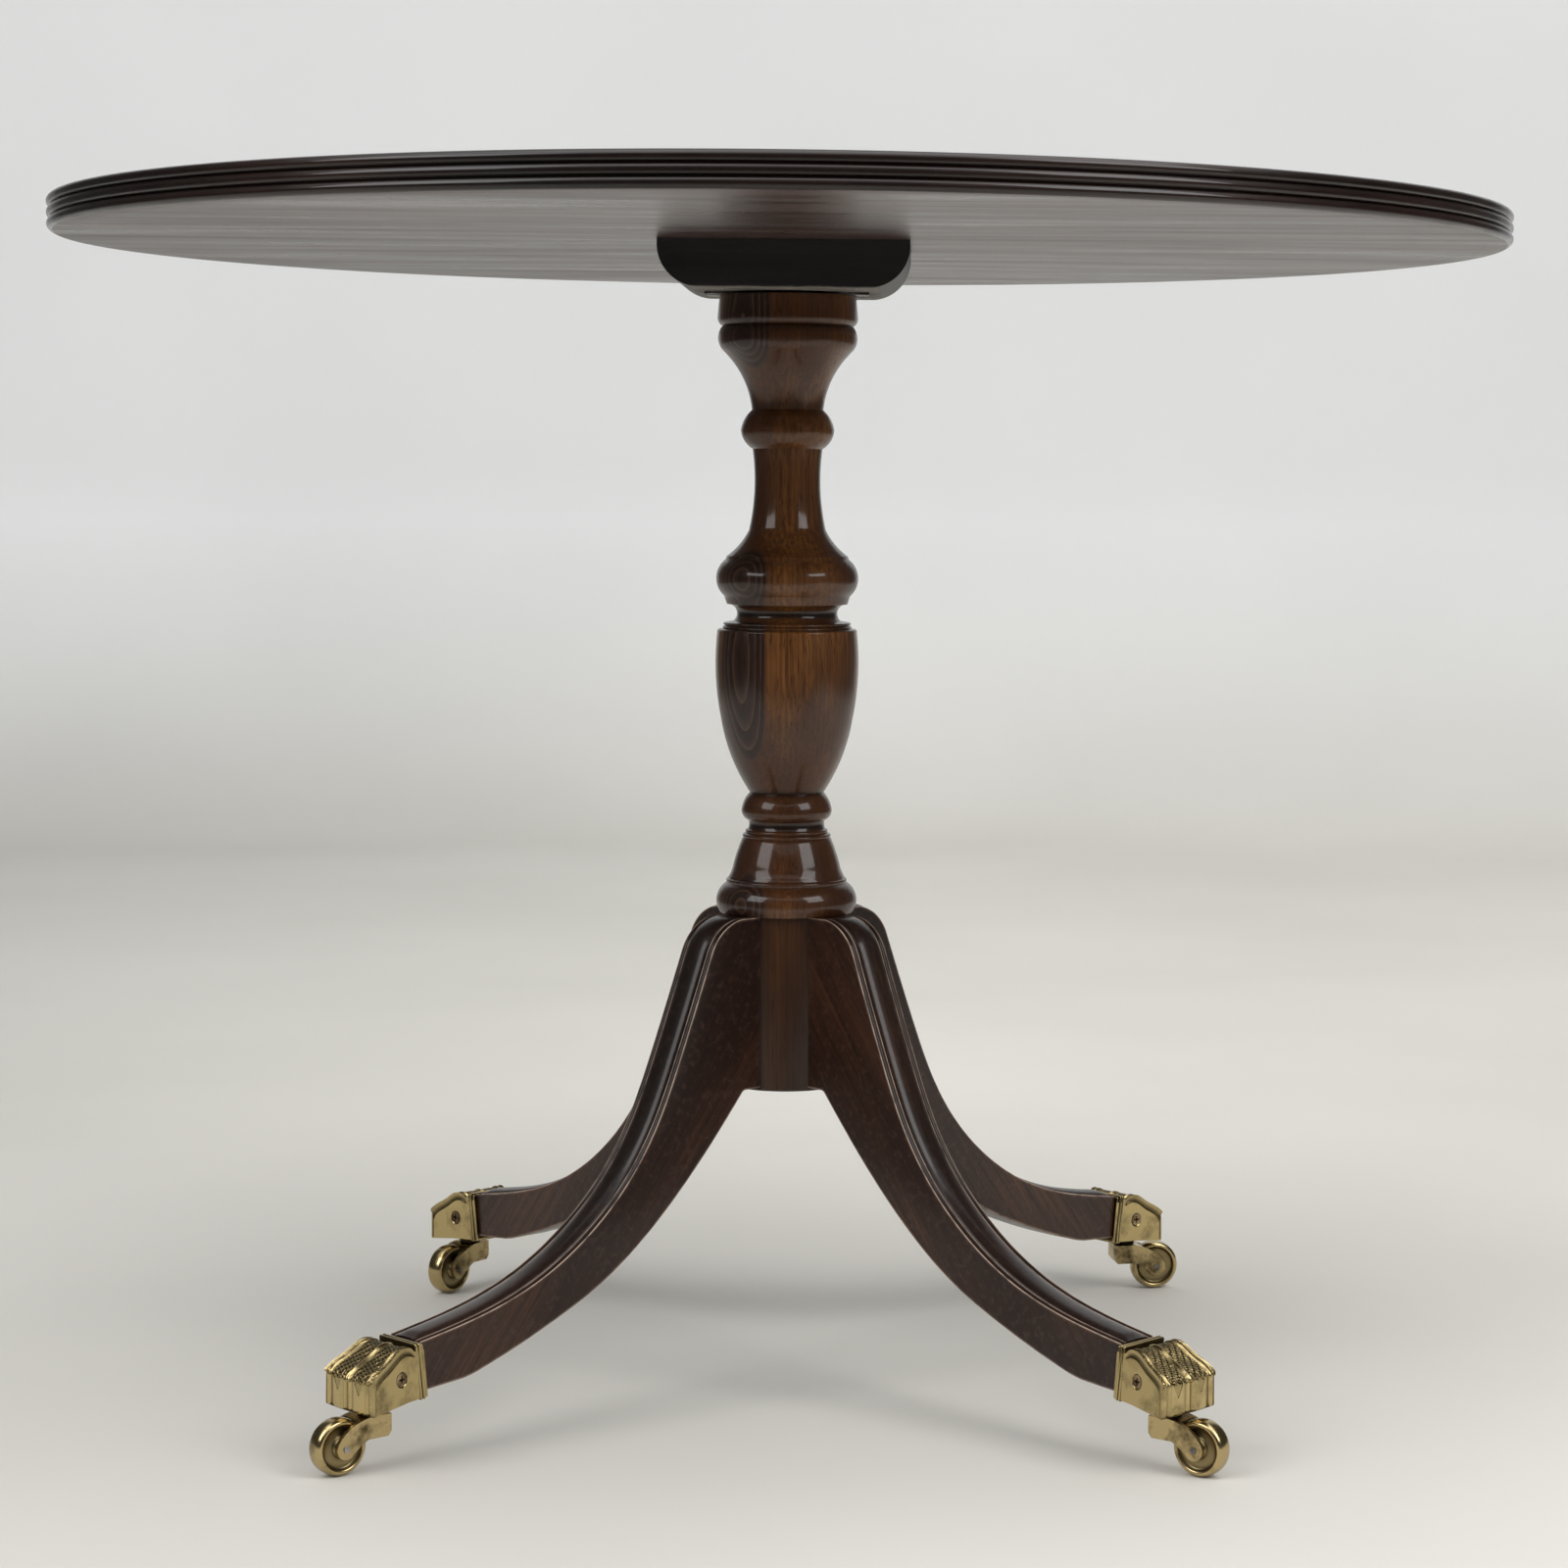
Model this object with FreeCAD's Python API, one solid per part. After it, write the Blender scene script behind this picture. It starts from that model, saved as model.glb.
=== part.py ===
"""Round pedestal table: reeded round top, turned column, four sabre legs on brass paw castors.

Millimetres, +Z up.  The origin is on the floor at the column's axis.  The front is -Y, and the
legs run out along the four diagonals.  Each function returns one piece in its place at rest.
"""
import FreeCAD, Part
import math
import os

Vec = FreeCAD.Vector
UP = Vec(0, 0, 1)
ORIGIN = Vec(0, 0, 0)

# Top
TABLE_HEIGHT = 748.0
TOP_THICKNESS = 20.5
TOP_RADIUS = 457.0
EDGE_WIDTH = 18.0
REED_COUNT = 3
REED_DEPTH = 2.6
UNDERSIDE = TABLE_HEIGHT - TOP_THICKNESS
PANEL_RADIUS = TOP_RADIUS - EDGE_WIDTH

# Block, plate and screws that hold the top on the column
BLOCK_LENGTH = 156.0
BLOCK_DEPTH = 154.0
BLOCK_THICKNESS = 29.5
BLOCK_END_WIDTH = 24.0
BLOCK_BOTTOM = UNDERSIDE - BLOCK_THICKNESS
BLOCK_SCREW_X = 42.0
BLOCK_SCREW_Y = 52.0
PLATE_LENGTH = 104.0
PLATE_DEPTH = 44.0
PLATE_THICKNESS = 1.5
PLATE_BOTTOM = BLOCK_BOTTOM - PLATE_THICKNESS
PLATE_SCREW_X = 48.2

# Screws: head radius, shank radius, length
BLOCK_SCREW = (3.8, 1.9, 40.0)
PLATE_SCREW = (3.0, 1.6, 18.0)
SOCKET_SCREW = (4.1, 1.9, 14.0)
POINT_RADIUS = 0.3

# Column
TENON_RADIUS = 15.0
TENON_LENGTH = 30.0
CORE_RADIUS = 39.0
CORE_TOP = 302.0
CORE_BOTTOM = 190.0

# Legs
LEG_WIDTH = 29.0
LEG_ROOT = math.sqrt(CORE_RADIUS ** 2 - (LEG_WIDTH / 2) ** 2)
BEAD_WIDTH = 20.0
BEAD_HEIGHT = 2.4
DOVETAIL_DEPTH = 15.0
DOVETAIL_NECK = 11.0
DOVETAIL_WIDE = 16.0
DOVETAIL_TOP = 292.0
LEG_ANGLES = {"front_left": 225.0, "front_right": 315.0, "back_left": 135.0, "back_right": 45.0}

# Leg ends and the brass paw-shaped sockets on them.  The joint's plane leans out, so a distance
# along the leg is given at the collar's middle height.
LEG_END = 304.0
JOINT_HEIGHT = 56.7
JOINT_SLOPE = 0.11
COLLAR_HALF_WIDTH = 18.0
COLLAR_LOW = 39.6
COLLAR_HIGH = 73.8
COLLAR_BANDS = ((0.0, 2.0, 1.0, 1.0),        # from, to, inset at the sides, inset above and below
                (2.0, 4.1, 0.0, 0.0),
                (4.1, 4.5, 0.5, 0.5),
                (4.5, 6.6, 0.0, 0.0),
                (6.6, 9.0, 1.0, 4.6))
PAW_NOSE = 348.0
PAW_BACK_HALF_WIDTH = 16.4
PAW_NOSE_HALF_WIDTH = 23.3
PAW_LOW = 40.4
PAW_HIGH = 70.6
SOLE_AT_NOSE = 36.6
PAW_FLOOR = 35.5
BOSS_RADIUS = 9.0
LEG_TENON_NOSE = 331.0
LEG_TENON_WIDTH = 25.0
LEG_TENON_LOW = 46.0
LEG_TENON_HIGH = 67.0
SOCKET_SCREW_AT = 323.5
SOCKET_SCREW_HEIGHT = 54.5

# Castors
SWIVEL_RADIUS = 332.5
TRAIL = 22.0
WHEEL_RADIUS = 17.0
WHEEL_WIDTH = 12.0
HUB_HALF_WIDTH = 6.4
HUB_RADIUS = 5.6
RIM_INNER_RADIUS = 13.6
DISH_DEPTH = 2.4
AXLE_RADIUS = 2.0
AXLE_HALF_LENGTH = 10.6
WHEEL_BORE_RADIUS = AXLE_RADIUS + 0.08
HORN_TOP = 33.3
HORN_BOTTOM = 20.0
HORN_HALF_WIDTH = 10.0
HORN_BACK = 9.0
FORK_GAP_HALF_WIDTH = 6.7
FORK_GAP_RADIUS = 17.8
ARM_END_RADIUS = 6.3
PIN_RADIUS = 3.0
PIN_HEAD_RADIUS = 4.0
PIN_HEAD_HEIGHT = 2.4
PIN_HEAD_LIFT = 1.5
PIN_TOP = LEG_TENON_LOW
RUNNING_FIT = 0.08
WASHER_RADIUS = 7.0
WASHER_TOP = PAW_FLOOR
WASHER_BOTTOM = HORN_TOP + 0.1
CASTOR_HEADINGS = {"front_left": 222.0, "front_right": 324.0,
                   "back_left": 235.0, "back_right": 12.0}


def point(across, height):
    """A point in the XZ plane."""
    return Vec(across, 0, height)


def line(start, end):
    return Part.LineSegment(start, end).toShape()


def arc(start, middle, end):
    return Part.Arc(start, middle, end).toShape()


def curve(points):
    """A smooth curve through the points."""
    spline = Part.BSplineCurve()
    spline.interpolate(points)
    return spline.toShape()


def face(edges):
    return Part.Face(Part.Wire(edges))


def outline(start, steps):
    """Edges from start: a step of one point is a line, and one of two points is an arc."""
    edges = []
    here = point(*start)
    for step in steps:
        if len(step) == 2:
            there = point(*step)
            edges.append(line(here, there))
        else:
            there = point(*step[2:])
            edges.append(arc(here, point(*step[:2]), there))
        here = there
    if here.distanceToPoint(point(*start)) > 1e-6:
        edges.append(line(here, point(*start)))
    return edges


def turned(start, steps):
    """The outline turned about Z."""
    return face(outline(start, steps)).revolve(ORIGIN, UP, 360)


def turned_in_quarters(start, steps):
    """The outline turned about Z a quarter at a time, so that no face closes on itself."""
    quarter = face(outline(start, steps)).revolve(ORIGIN, UP, 90)
    return quarter.fuse([turned_round(quarter, degrees) for degrees in (90, 180, 270)])


def cylinder(radius, low, high):
    return Part.makeCylinder(radius, high - low, Vec(0, 0, low))


def box(length, depth, low, high):
    """A box centred on the Z axis, from low to high."""
    corner = Vec(-length / 2, -depth / 2, low)
    return Part.makeBox(length, depth, high - low, corner)


def slab(edges, width):
    """A side outline in the XZ plane, thickened evenly to both sides."""
    flat = face(edges)
    flat.translate(Vec(0, -width / 2, 0))
    return flat.extrude(Vec(0, width, 0))


def turned_round(shape, degrees, offset=ORIGIN):
    """A copy moved by offset, then turned about Z."""
    copy = shape.copy()
    copy.translate(offset)
    copy.rotate(ORIGIN, UP, degrees)
    return copy


def screw_blank(head_radius, shank_radius, length):
    """A countersunk screw along Z with no recess, its head at z = 0 and its point at z = length."""
    head_height = head_radius - shank_radius
    point_base = length - 2 * shank_radius
    head = Part.makeCone(head_radius, shank_radius, head_height)
    shank = cylinder(shank_radius, head_height, point_base)
    tip = Part.makeCone(shank_radius, POINT_RADIUS, length - point_base, Vec(0, 0, point_base))
    return head.fuse([shank, tip])


def cross_head_screw(head_radius, shank_radius, length):
    """The blank with a cross recess in its head."""
    recess_depth = (head_radius - shank_radius) * 0.6
    recess = box(head_radius * 1.1, head_radius * 0.28, 0, recess_depth)
    cross = recess.fuse(turned_round(recess, 90))
    return screw_blank(head_radius, shank_radius, length).cut(cross)


def moved_to(shape, places):
    """One copy of the shape at each place."""
    copies = []
    for place in places:
        copy = shape.copy()
        copy.translate(place)
        copies.append(copy)
    return copies


# ---------------------------------------------------------------- top

def top_panel():
    return cylinder(PANEL_RADIUS, UNDERSIDE, TABLE_HEIGHT).cut(block_screw_holes())


def reeded_edge():
    """The lipping round the panel: equal rounded reeds, the outer two with quarter-round backs."""
    half_pitch = TOP_THICKNESS / REED_COUNT / 2
    valley = TOP_RADIUS - REED_DEPTH
    quarter_inset = half_pitch * (1 - math.sqrt(0.5))
    reed_radius = (half_pitch ** 2 + REED_DEPTH ** 2) / (2 * REED_DEPTH)
    half_way = math.asin(half_pitch / reed_radius) / 2
    sag_x = TOP_RADIUS - reed_radius * (1 - math.cos(half_way))
    sag_z = reed_radius * math.sin(half_way)
    crests = [UNDERSIDE + half_pitch * (2 * reed + 1) for reed in range(REED_COUNT)]
    steps = [(TOP_RADIUS - half_pitch, UNDERSIDE),
             (TOP_RADIUS - quarter_inset, UNDERSIDE + quarter_inset, TOP_RADIUS, crests[0]),
             (sag_x, crests[0] + sag_z, valley, crests[0] + half_pitch)]
    for crest in crests[1:-1]:
        steps.append((TOP_RADIUS, crest, valley, crest + half_pitch))
    steps += [(sag_x, crests[-1] - sag_z, TOP_RADIUS, crests[-1]),
              (TOP_RADIUS - quarter_inset, TABLE_HEIGHT - quarter_inset,
               TOP_RADIUS - half_pitch, TABLE_HEIGHT),
              (PANEL_RADIUS, TABLE_HEIGHT)]
    return turned_in_quarters((PANEL_RADIUS, UNDERSIDE), steps)


# ---------------------------------------------------------------- block, plate and screws

def block_screw_places():
    return [Vec(x, y, BLOCK_BOTTOM) for x in (-BLOCK_SCREW_X, BLOCK_SCREW_X)
            for y in (-BLOCK_SCREW_Y, BLOCK_SCREW_Y)]


def plate_screw_places():
    return [Vec(x, 0, PLATE_BOTTOM) for x in (-PLATE_SCREW_X, PLATE_SCREW_X)]


def block_screws():
    return Part.makeCompound(moved_to(cross_head_screw(*BLOCK_SCREW), block_screw_places()))


def plate_screws():
    return Part.makeCompound(moved_to(cross_head_screw(*PLATE_SCREW), plate_screw_places()))


def block_screw_holes():
    return moved_to(screw_blank(*BLOCK_SCREW), block_screw_places())


def plate_screw_holes():
    return moved_to(screw_blank(*PLATE_SCREW), plate_screw_places())


def mounting_block():
    """A bearer with quarter-round lower ends, bored for the column's tenon."""
    half = BLOCK_LENGTH / 2
    flat = half - BLOCK_END_WIDTH
    mid_x = flat + BLOCK_END_WIDTH * math.sin(math.pi / 4)
    mid_z = UNDERSIDE - 2 - (BLOCK_THICKNESS - 2) * math.cos(math.pi / 4)
    steps = [(half, UNDERSIDE - 2),
             (mid_x, mid_z, flat, BLOCK_BOTTOM),
             (-flat, BLOCK_BOTTOM),
             (-mid_x, mid_z, -half, UNDERSIDE - 2),
             (-half, UNDERSIDE)]
    block = slab(outline((half, UNDERSIDE), steps), BLOCK_DEPTH)
    bore = cylinder(TENON_RADIUS, BLOCK_BOTTOM, UNDERSIDE)
    return block.cut([bore] + block_screw_holes() + plate_screw_holes())


def mounting_plate():
    """The thin steel plate between the column's cap and the block."""
    plate = box(PLATE_LENGTH, PLATE_DEPTH, PLATE_BOTTOM, BLOCK_BOTTOM)
    bore = cylinder(TENON_RADIUS, PLATE_BOTTOM, BLOCK_BOTTOM)
    return plate.cut([bore] + plate_screw_holes())


# ---------------------------------------------------------------- column

def column():
    """One turning from the tenon down to the core that carries the legs."""
    tenon_top = PLATE_BOTTOM + TENON_LENGTH
    steps = [(TENON_RADIUS, tenon_top),
             (TENON_RADIUS, PLATE_BOTTOM),
             (43.6, PLATE_BOTTOM),
             (44.8, 683.0),
             (44.6, 680.4, 41.8, 677.0),                      # cap
             (44.5, 669.2, 40.0, 660.2),                      # torus under it
             (36.6, 656.4),
             (28.2, 643.4, 22.9, 624.0),                      # neck
             (27.9, 617.6, 29.9, 611.0),                      # bulb, upper
             (28.2, 605.3, 22.4, 599.2),                      # bulb, lower
             (21.05, 577.0, 24.6, 547.6),                     # slender shaft
             (29.6, 539.6, 38.8, 530.8),                      # bell
             (39.6, 528.7),
             (45.6, 516.8, 40.3, 505.2),                      # torus
             (38.8, 500.2),
             (32.2, 493.2, 34.4, 488.6),                      # cove
             (41.2, 485.4),
             (42.4, 484.2),
             (44.8, 483.0),
             (45.9, 468.0, 42.3, 426.5),                      # vase, upper
             (35.3, 401.0, 23.8, 379.0),                      # vase, lower
             (27.3, 374.0, 29.1, 367.4),                      # ring, upper
             (28.5, 364.6, 25.4, 361.4),                      # ring, lower
             (24.3, 357.0, 26.4, 351.0),                      # cove
             (27.2, 348.2),
             (33.0, 337.0, 34.0, 332.3),                      # spreading foot
             (36.2, 327.2, 38.8, 323.0),
             (45.4, 308.2, 43.4, CORE_TOP),                   # base torus
             (CORE_RADIUS, CORE_TOP),
             (CORE_RADIUS, CORE_BOTTOM),
             (0, CORE_BOTTOM)]
    body = turned((0, tenon_top), steps)
    cuts = []
    for degrees in LEG_ANGLES.values():
        corner = Vec(LEG_ROOT, -LEG_WIDTH / 2, CORE_BOTTOM)
        flat = Part.makeBox(CORE_RADIUS, LEG_WIDTH, CORE_TOP - CORE_BOTTOM, corner)
        cuts.append(turned_round(flat, degrees))
        cuts.append(turned_round(dovetail(), degrees))
    return body.cut(cuts)


# ---------------------------------------------------------------- legs

def dovetail():
    """The sliding dovetail on a leg's inner end, which goes up into the core."""
    inner = LEG_ROOT - DOVETAIL_DEPTH
    corners = [Vec(LEG_ROOT, -DOVETAIL_NECK / 2, 0), Vec(inner, -DOVETAIL_WIDE / 2, 0),
               Vec(inner, DOVETAIL_WIDE / 2, 0), Vec(LEG_ROOT, DOVETAIL_NECK / 2, 0)]
    edges = [line(a, b) for a, b in zip(corners, corners[1:] + corners[:1])]
    tail = face(edges).extrude(UP * (DOVETAIL_TOP - CORE_BOTTOM))
    tail.translate(UP * CORE_BOTTOM)
    return tail


def leg_outline(lift):
    """A leg's side outline, its upper edge raised by lift."""
    shoulder = [point(52, CORE_TOP - 0.2 + min(lift, 0)),
                point(66.5, 295.8 + lift),
                point(77.5, 281.0 + lift)]
    upper = [(77.5, 281.0), (89.0, 252.6), (104.0, 217.0), (122.0, 179.5), (146.0, 146.0),
             (178.0, 117.5), (214.0, 96.6), (258.0, 82.0)]
    lower = [(266.0, 47.4), (236.0, 57.2), (204.0, 69.4), (172.0, 83.8), (142.0, 102.6),
             (110.0, 128.8), (78.0, 160.6), (50.0, CORE_BOTTOM + 2)]
    knee = (274.0, 45.8)
    top_end = on_joint(73.2 + lift)
    low_end = on_joint(43.6)
    return [line(point(LEG_ROOT, CORE_TOP - 0.2), shoulder[0]),
            arc(*shoulder),
            curve([point(x, z + lift) for x, z in upper] + [top_end]),
            line(top_end, low_end),
            line(low_end, point(*knee)),
            line(point(*knee), point(*lower[0])),
            curve([point(x, z) for x, z in lower]),
            line(point(*lower[-1]), point(LEG_ROOT, CORE_BOTTOM + 2)),
            line(point(LEG_ROOT, CORE_BOTTOM + 2), point(LEG_ROOT, CORE_TOP - 0.2))]


def on_joint(height):
    """The point of the leaning joint between leg and socket at a height."""
    return point(LEG_END + JOINT_SLOPE * (height - JOINT_HEIGHT), height)


def leg_tenon():
    """The reduced end that goes into the socket, with a little that lies inside the leg."""
    root = LEG_END - 4
    length = LEG_TENON_NOSE - root
    corner = Vec(root, -LEG_TENON_WIDTH / 2, LEG_TENON_LOW)
    return Part.makeBox(length, LEG_TENON_WIDTH, LEG_TENON_HIGH - LEG_TENON_LOW, corner)


def leg():
    """A sabre leg along +X: a flat-sided blank with a raised bead down its upper edge."""
    blank = slab(leg_outline(0), LEG_WIDTH)
    bead = slab(leg_outline(BEAD_HEIGHT), BEAD_WIDTH)
    return blank.fuse([bead, dovetail(), leg_tenon()]).cut(socket_screw_holes()).removeSplitter()


# ---------------------------------------------------------------- sockets

def socket_screw_frame():
    """Where a flank screw sits, and how far the flank turns out from the leg's line."""
    back = LEG_END - 2
    slope = (PAW_NOSE_HALF_WIDTH - PAW_BACK_HALF_WIDTH) / (PAW_NOSE - 1.5 - back)
    half_width = PAW_BACK_HALF_WIDTH + slope * (SOCKET_SCREW_AT - back)
    return half_width, math.degrees(math.atan(slope))


def placed_on_flanks(shape):
    """The shape on both flanks, its z = 0 plane on the brass and its +Z going in."""
    half_width, splay = socket_screw_frame()
    placed = []
    for side in (1, -1):
        copy = shape.copy()
        copy.rotate(ORIGIN, Vec(1, 0, 0), 90 * side)
        copy.rotate(ORIGIN, UP, splay * side)
        copy.translate(Vec(SOCKET_SCREW_AT, half_width * side, SOCKET_SCREW_HEIGHT))
        placed.append(copy)
    return placed


def socket_screw_holes():
    return placed_on_flanks(screw_blank(*SOCKET_SCREW))


def collar():
    """Reeded bands round the leg's end, square to each other and leaning with the joint."""
    bands = []
    for start, end, side_inset, edge_inset in COLLAR_BANDS:
        half_width = COLLAR_HALF_WIDTH - side_inset
        low = COLLAR_LOW + edge_inset
        bands.append(Part.makeBox(end - start, 2 * half_width, COLLAR_HIGH - edge_inset - low,
                                  Vec(LEG_END + start, -half_width, low)))
    ring = bands[0].fuse(bands[1:])
    ring.rotate(point(LEG_END, JOINT_HEIGHT), Vec(0, 1, 0), math.degrees(math.atan(JOINT_SLOPE)))
    return ring


def castor_socket():
    """A cast cap along +X: collar, flared flanks, knuckled top, upright toes and a sloping sole."""
    back_low = on_joint(PAW_LOW)
    back_high = on_joint(PAW_HIGH)
    side = slab(outline((back_low.x, back_low.z), [(318.0, PAW_LOW - 0.6),
                                                   (PAW_NOSE, SOLE_AT_NOSE),
                                                   (PAW_NOSE, 57.0),
                                                   (339.5, 64.2, 328.0, 69.6),
                                                   (320.0, 71.6, 313.0, PAW_HIGH),
                                                   (back_high.x, back_high.z)]), 60)
    back = LEG_END - 2
    front = PAW_NOSE - 1.5
    corners = [Vec(back, -PAW_BACK_HALF_WIDTH, 30), Vec(front, -PAW_NOSE_HALF_WIDTH, 30),
               Vec(front, PAW_NOSE_HALF_WIDTH, 30), Vec(back, PAW_BACK_HALF_WIDTH, 30)]
    edges = [line(corners[0], corners[1]),
             arc(corners[1], Vec(PAW_NOSE, 0, 30), corners[2]),
             line(corners[2], corners[3]),
             line(corners[3], corners[0])]
    plan = face(edges).extrude(UP * 50)
    at_swivel = Vec(SWIVEL_RADIUS, 0, 0)
    boss = cylinder(BOSS_RADIUS, PAW_FLOOR, PAW_LOW)
    boss.translate(at_swivel)
    pin_hole = cylinder(PIN_RADIUS, PAW_FLOOR, PIN_TOP)
    pin_hole.translate(at_swivel)
    body = side.common(plan).fuse([collar(), boss])
    return body.cut([leg_tenon(), pin_hole] + socket_screw_holes())


def socket_screws():
    """All eight flank screws: two to a socket."""
    screws = []
    for degrees in LEG_ANGLES.values():
        for placed in placed_on_flanks(cross_head_screw(*SOCKET_SCREW)):
            screws.append(turned_round(placed, degrees))
    return Part.makeCompound(screws)


# ---------------------------------------------------------------- castors, on the swivel axis

def swivel_pin():
    head_low = HORN_BOTTOM + PIN_HEAD_LIFT
    head_high = head_low + PIN_HEAD_HEIGHT
    head = cylinder(PIN_HEAD_RADIUS, head_low, head_high)
    return head.fuse(cylinder(PIN_RADIUS, head_high, PIN_TOP))


def swivel_washer():
    ring = cylinder(WASHER_RADIUS, WASHER_BOTTOM, WASHER_TOP)
    return ring.cut(cylinder(PIN_RADIUS, WASHER_BOTTOM, WASHER_TOP))


def across(radius, half_width):
    """A cylinder on the axle's line."""
    return Part.makeCylinder(radius, 2 * half_width, Vec(TRAIL, -half_width, WHEEL_RADIUS), Vec(0, 1, 0))


def castor_horn():
    """A boss on the swivel pin with two curved arms that run out and down to the axle."""
    tip_top = point(TRAIL + ARM_END_RADIUS * 0.766, WHEEL_RADIUS + ARM_END_RADIUS * 0.643)
    tip_out = point(TRAIL + ARM_END_RADIUS * 0.94, WHEEL_RADIUS - ARM_END_RADIUS * 0.342)
    tip_low = point(TRAIL - ARM_END_RADIUS * 0.5, WHEEL_RADIUS - ARM_END_RADIUS * 0.866)
    start = point(-HORN_BACK, HORN_TOP)
    edges = [line(start, point(4.0, HORN_TOP)),
             arc(point(4.0, HORN_TOP), point(17.2, 29.4), tip_top),
             arc(tip_top, tip_out, tip_low),
             arc(tip_low, point(13.4, 16.2), point(7.0, HORN_BOTTOM)),
             line(point(7.0, HORN_BOTTOM), point(-HORN_BACK + 2.2, HORN_BOTTOM)),
             line(point(-HORN_BACK + 2.2, HORN_BOTTOM), point(-HORN_BACK, HORN_BOTTOM + 3.0)),
             line(point(-HORN_BACK, HORN_BOTTOM + 3.0), start)]
    horn = slab(edges, 2 * HORN_HALF_WIDTH)
    wheel_space = across(FORK_GAP_RADIUS, FORK_GAP_HALF_WIDTH)
    counterbore_top = HORN_BOTTOM + PIN_HEAD_LIFT + PIN_HEAD_HEIGHT + RUNNING_FIT
    bore = cylinder(PIN_RADIUS + RUNNING_FIT, HORN_BOTTOM, HORN_TOP)
    counterbore = cylinder(PIN_HEAD_RADIUS + RUNNING_FIT, HORN_BOTTOM, counterbore_top)
    return horn.cut([wheel_space, bore, counterbore, across(AXLE_RADIUS, HORN_HALF_WIDTH)])


def axle():
    return across(AXLE_RADIUS, AXLE_HALF_LENGTH)


def castor_wheel():
    """A solid brass wheel with dished faces, a raised hub and a rounded tread."""
    half = WHEEL_WIDTH / 2
    dish = half - DISH_DEPTH
    round_over = 1.6
    inset = round_over * (1 - math.sqrt(0.5))
    right = [(HUB_RADIUS, HUB_HALF_WIDTH),
             (HUB_RADIUS + 1.2, dish),
             (RIM_INNER_RADIUS - 1.4, dish),
             (RIM_INNER_RADIUS, half),
             (WHEEL_RADIUS - round_over, half),
             (WHEEL_RADIUS - inset, half - inset, WHEEL_RADIUS, half - round_over)]
    left = [(WHEEL_RADIUS, round_over - half),
            (WHEEL_RADIUS - inset, inset - half, WHEEL_RADIUS - round_over, -half),
            (RIM_INNER_RADIUS, -half),
            (RIM_INNER_RADIUS - 1.4, -dish),
            (HUB_RADIUS + 1.2, -dish),
            (HUB_RADIUS, -HUB_HALF_WIDTH),
            (WHEEL_BORE_RADIUS, -HUB_HALF_WIDTH)]
    wheel = turned((WHEEL_BORE_RADIUS, HUB_HALF_WIDTH), right + left)
    wheel.rotate(ORIGIN, Vec(1, 0, 0), 90)
    wheel.translate(Vec(TRAIL, 0, WHEEL_RADIUS))
    return wheel


# ---------------------------------------------------------------- assembly

def foot_pieces(corner):
    """Every piece of one leg and castor, turned into its place."""
    leg_angle = LEG_ANGLES[corner]
    swivel = Vec(SWIVEL_RADIUS, 0, 0)
    pieces = {"leg_" + corner: turned_round(leg(), leg_angle),
              "castor_socket_" + corner: turned_round(castor_socket(), leg_angle),
              "swivel_pin_" + corner: turned_round(swivel_pin(), leg_angle, swivel),
              "swivel_washer_" + corner: turned_round(swivel_washer(), leg_angle, swivel)}
    swivel_centre = FreeCAD.Rotation(UP, leg_angle).multVec(swivel)
    for name, shape in (("castor_horn_", castor_horn()), ("castor_axle_", axle()),
                        ("castor_wheel_", castor_wheel())):
        shape.rotate(ORIGIN, UP, CASTOR_HEADINGS[corner])
        shape.translate(swivel_centre)
        pieces[name + corner] = shape
    return pieces


def all_pieces():
    pieces = {"top_panel": top_panel(),
              "reeded_edge": reeded_edge(),
              "mounting_block": mounting_block(),
              "block_screws": block_screws(),
              "mounting_plate": mounting_plate(),
              "plate_screws": plate_screws(),
              "column": column(),
              "socket_screws": socket_screws()}
    for corner in LEG_ANGLES:
        pieces.update(foot_pieces(corner))
    return pieces


os.makedirs("parts", exist_ok=True)
for node, shape in all_pieces().items():
    solids = [solid for solid in shape.Solids if solid.Volume > 1e-3]
    whole = solids[0] if len(solids) == 1 else Part.makeCompound(solids)
    if not whole.isValid():
        print("not valid:", node)
    print(f"{node}: {len(solids)} solid(s), {whole.Volume / 1000:.2f} cm3")
    whole.exportStep("parts/" + node + ".step")
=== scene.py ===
import math

import bmesh
import bpy
import numpy as np
from mathutils import Matrix, Vector


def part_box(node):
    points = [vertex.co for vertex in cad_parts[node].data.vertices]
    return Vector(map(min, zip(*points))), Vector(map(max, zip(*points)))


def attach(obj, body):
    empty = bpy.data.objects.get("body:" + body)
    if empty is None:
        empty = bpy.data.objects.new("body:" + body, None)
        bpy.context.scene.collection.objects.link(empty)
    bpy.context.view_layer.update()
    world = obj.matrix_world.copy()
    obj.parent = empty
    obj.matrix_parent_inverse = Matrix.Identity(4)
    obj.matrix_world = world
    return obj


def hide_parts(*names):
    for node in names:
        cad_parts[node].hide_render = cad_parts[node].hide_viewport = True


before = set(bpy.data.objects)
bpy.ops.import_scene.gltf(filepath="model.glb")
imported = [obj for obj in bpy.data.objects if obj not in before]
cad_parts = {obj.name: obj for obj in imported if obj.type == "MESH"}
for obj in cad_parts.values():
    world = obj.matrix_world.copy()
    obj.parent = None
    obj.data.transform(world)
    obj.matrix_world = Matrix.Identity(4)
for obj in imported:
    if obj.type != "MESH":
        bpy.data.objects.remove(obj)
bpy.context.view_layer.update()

# ---------------------------------------------------------------- camera
# A long lens low in front of the table, just under the height of its top, so the
# underside shows, with a slight turn to the right and a slight lean.
CAMERA_PLACE = Vector((0.0832, -2.2870, 0.5821))
CAMERA_HEADING = math.radians(1.09)
CAMERA_PITCH = math.radians(-4.93)
CAMERA_ROLL = math.radians(0.42)
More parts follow.
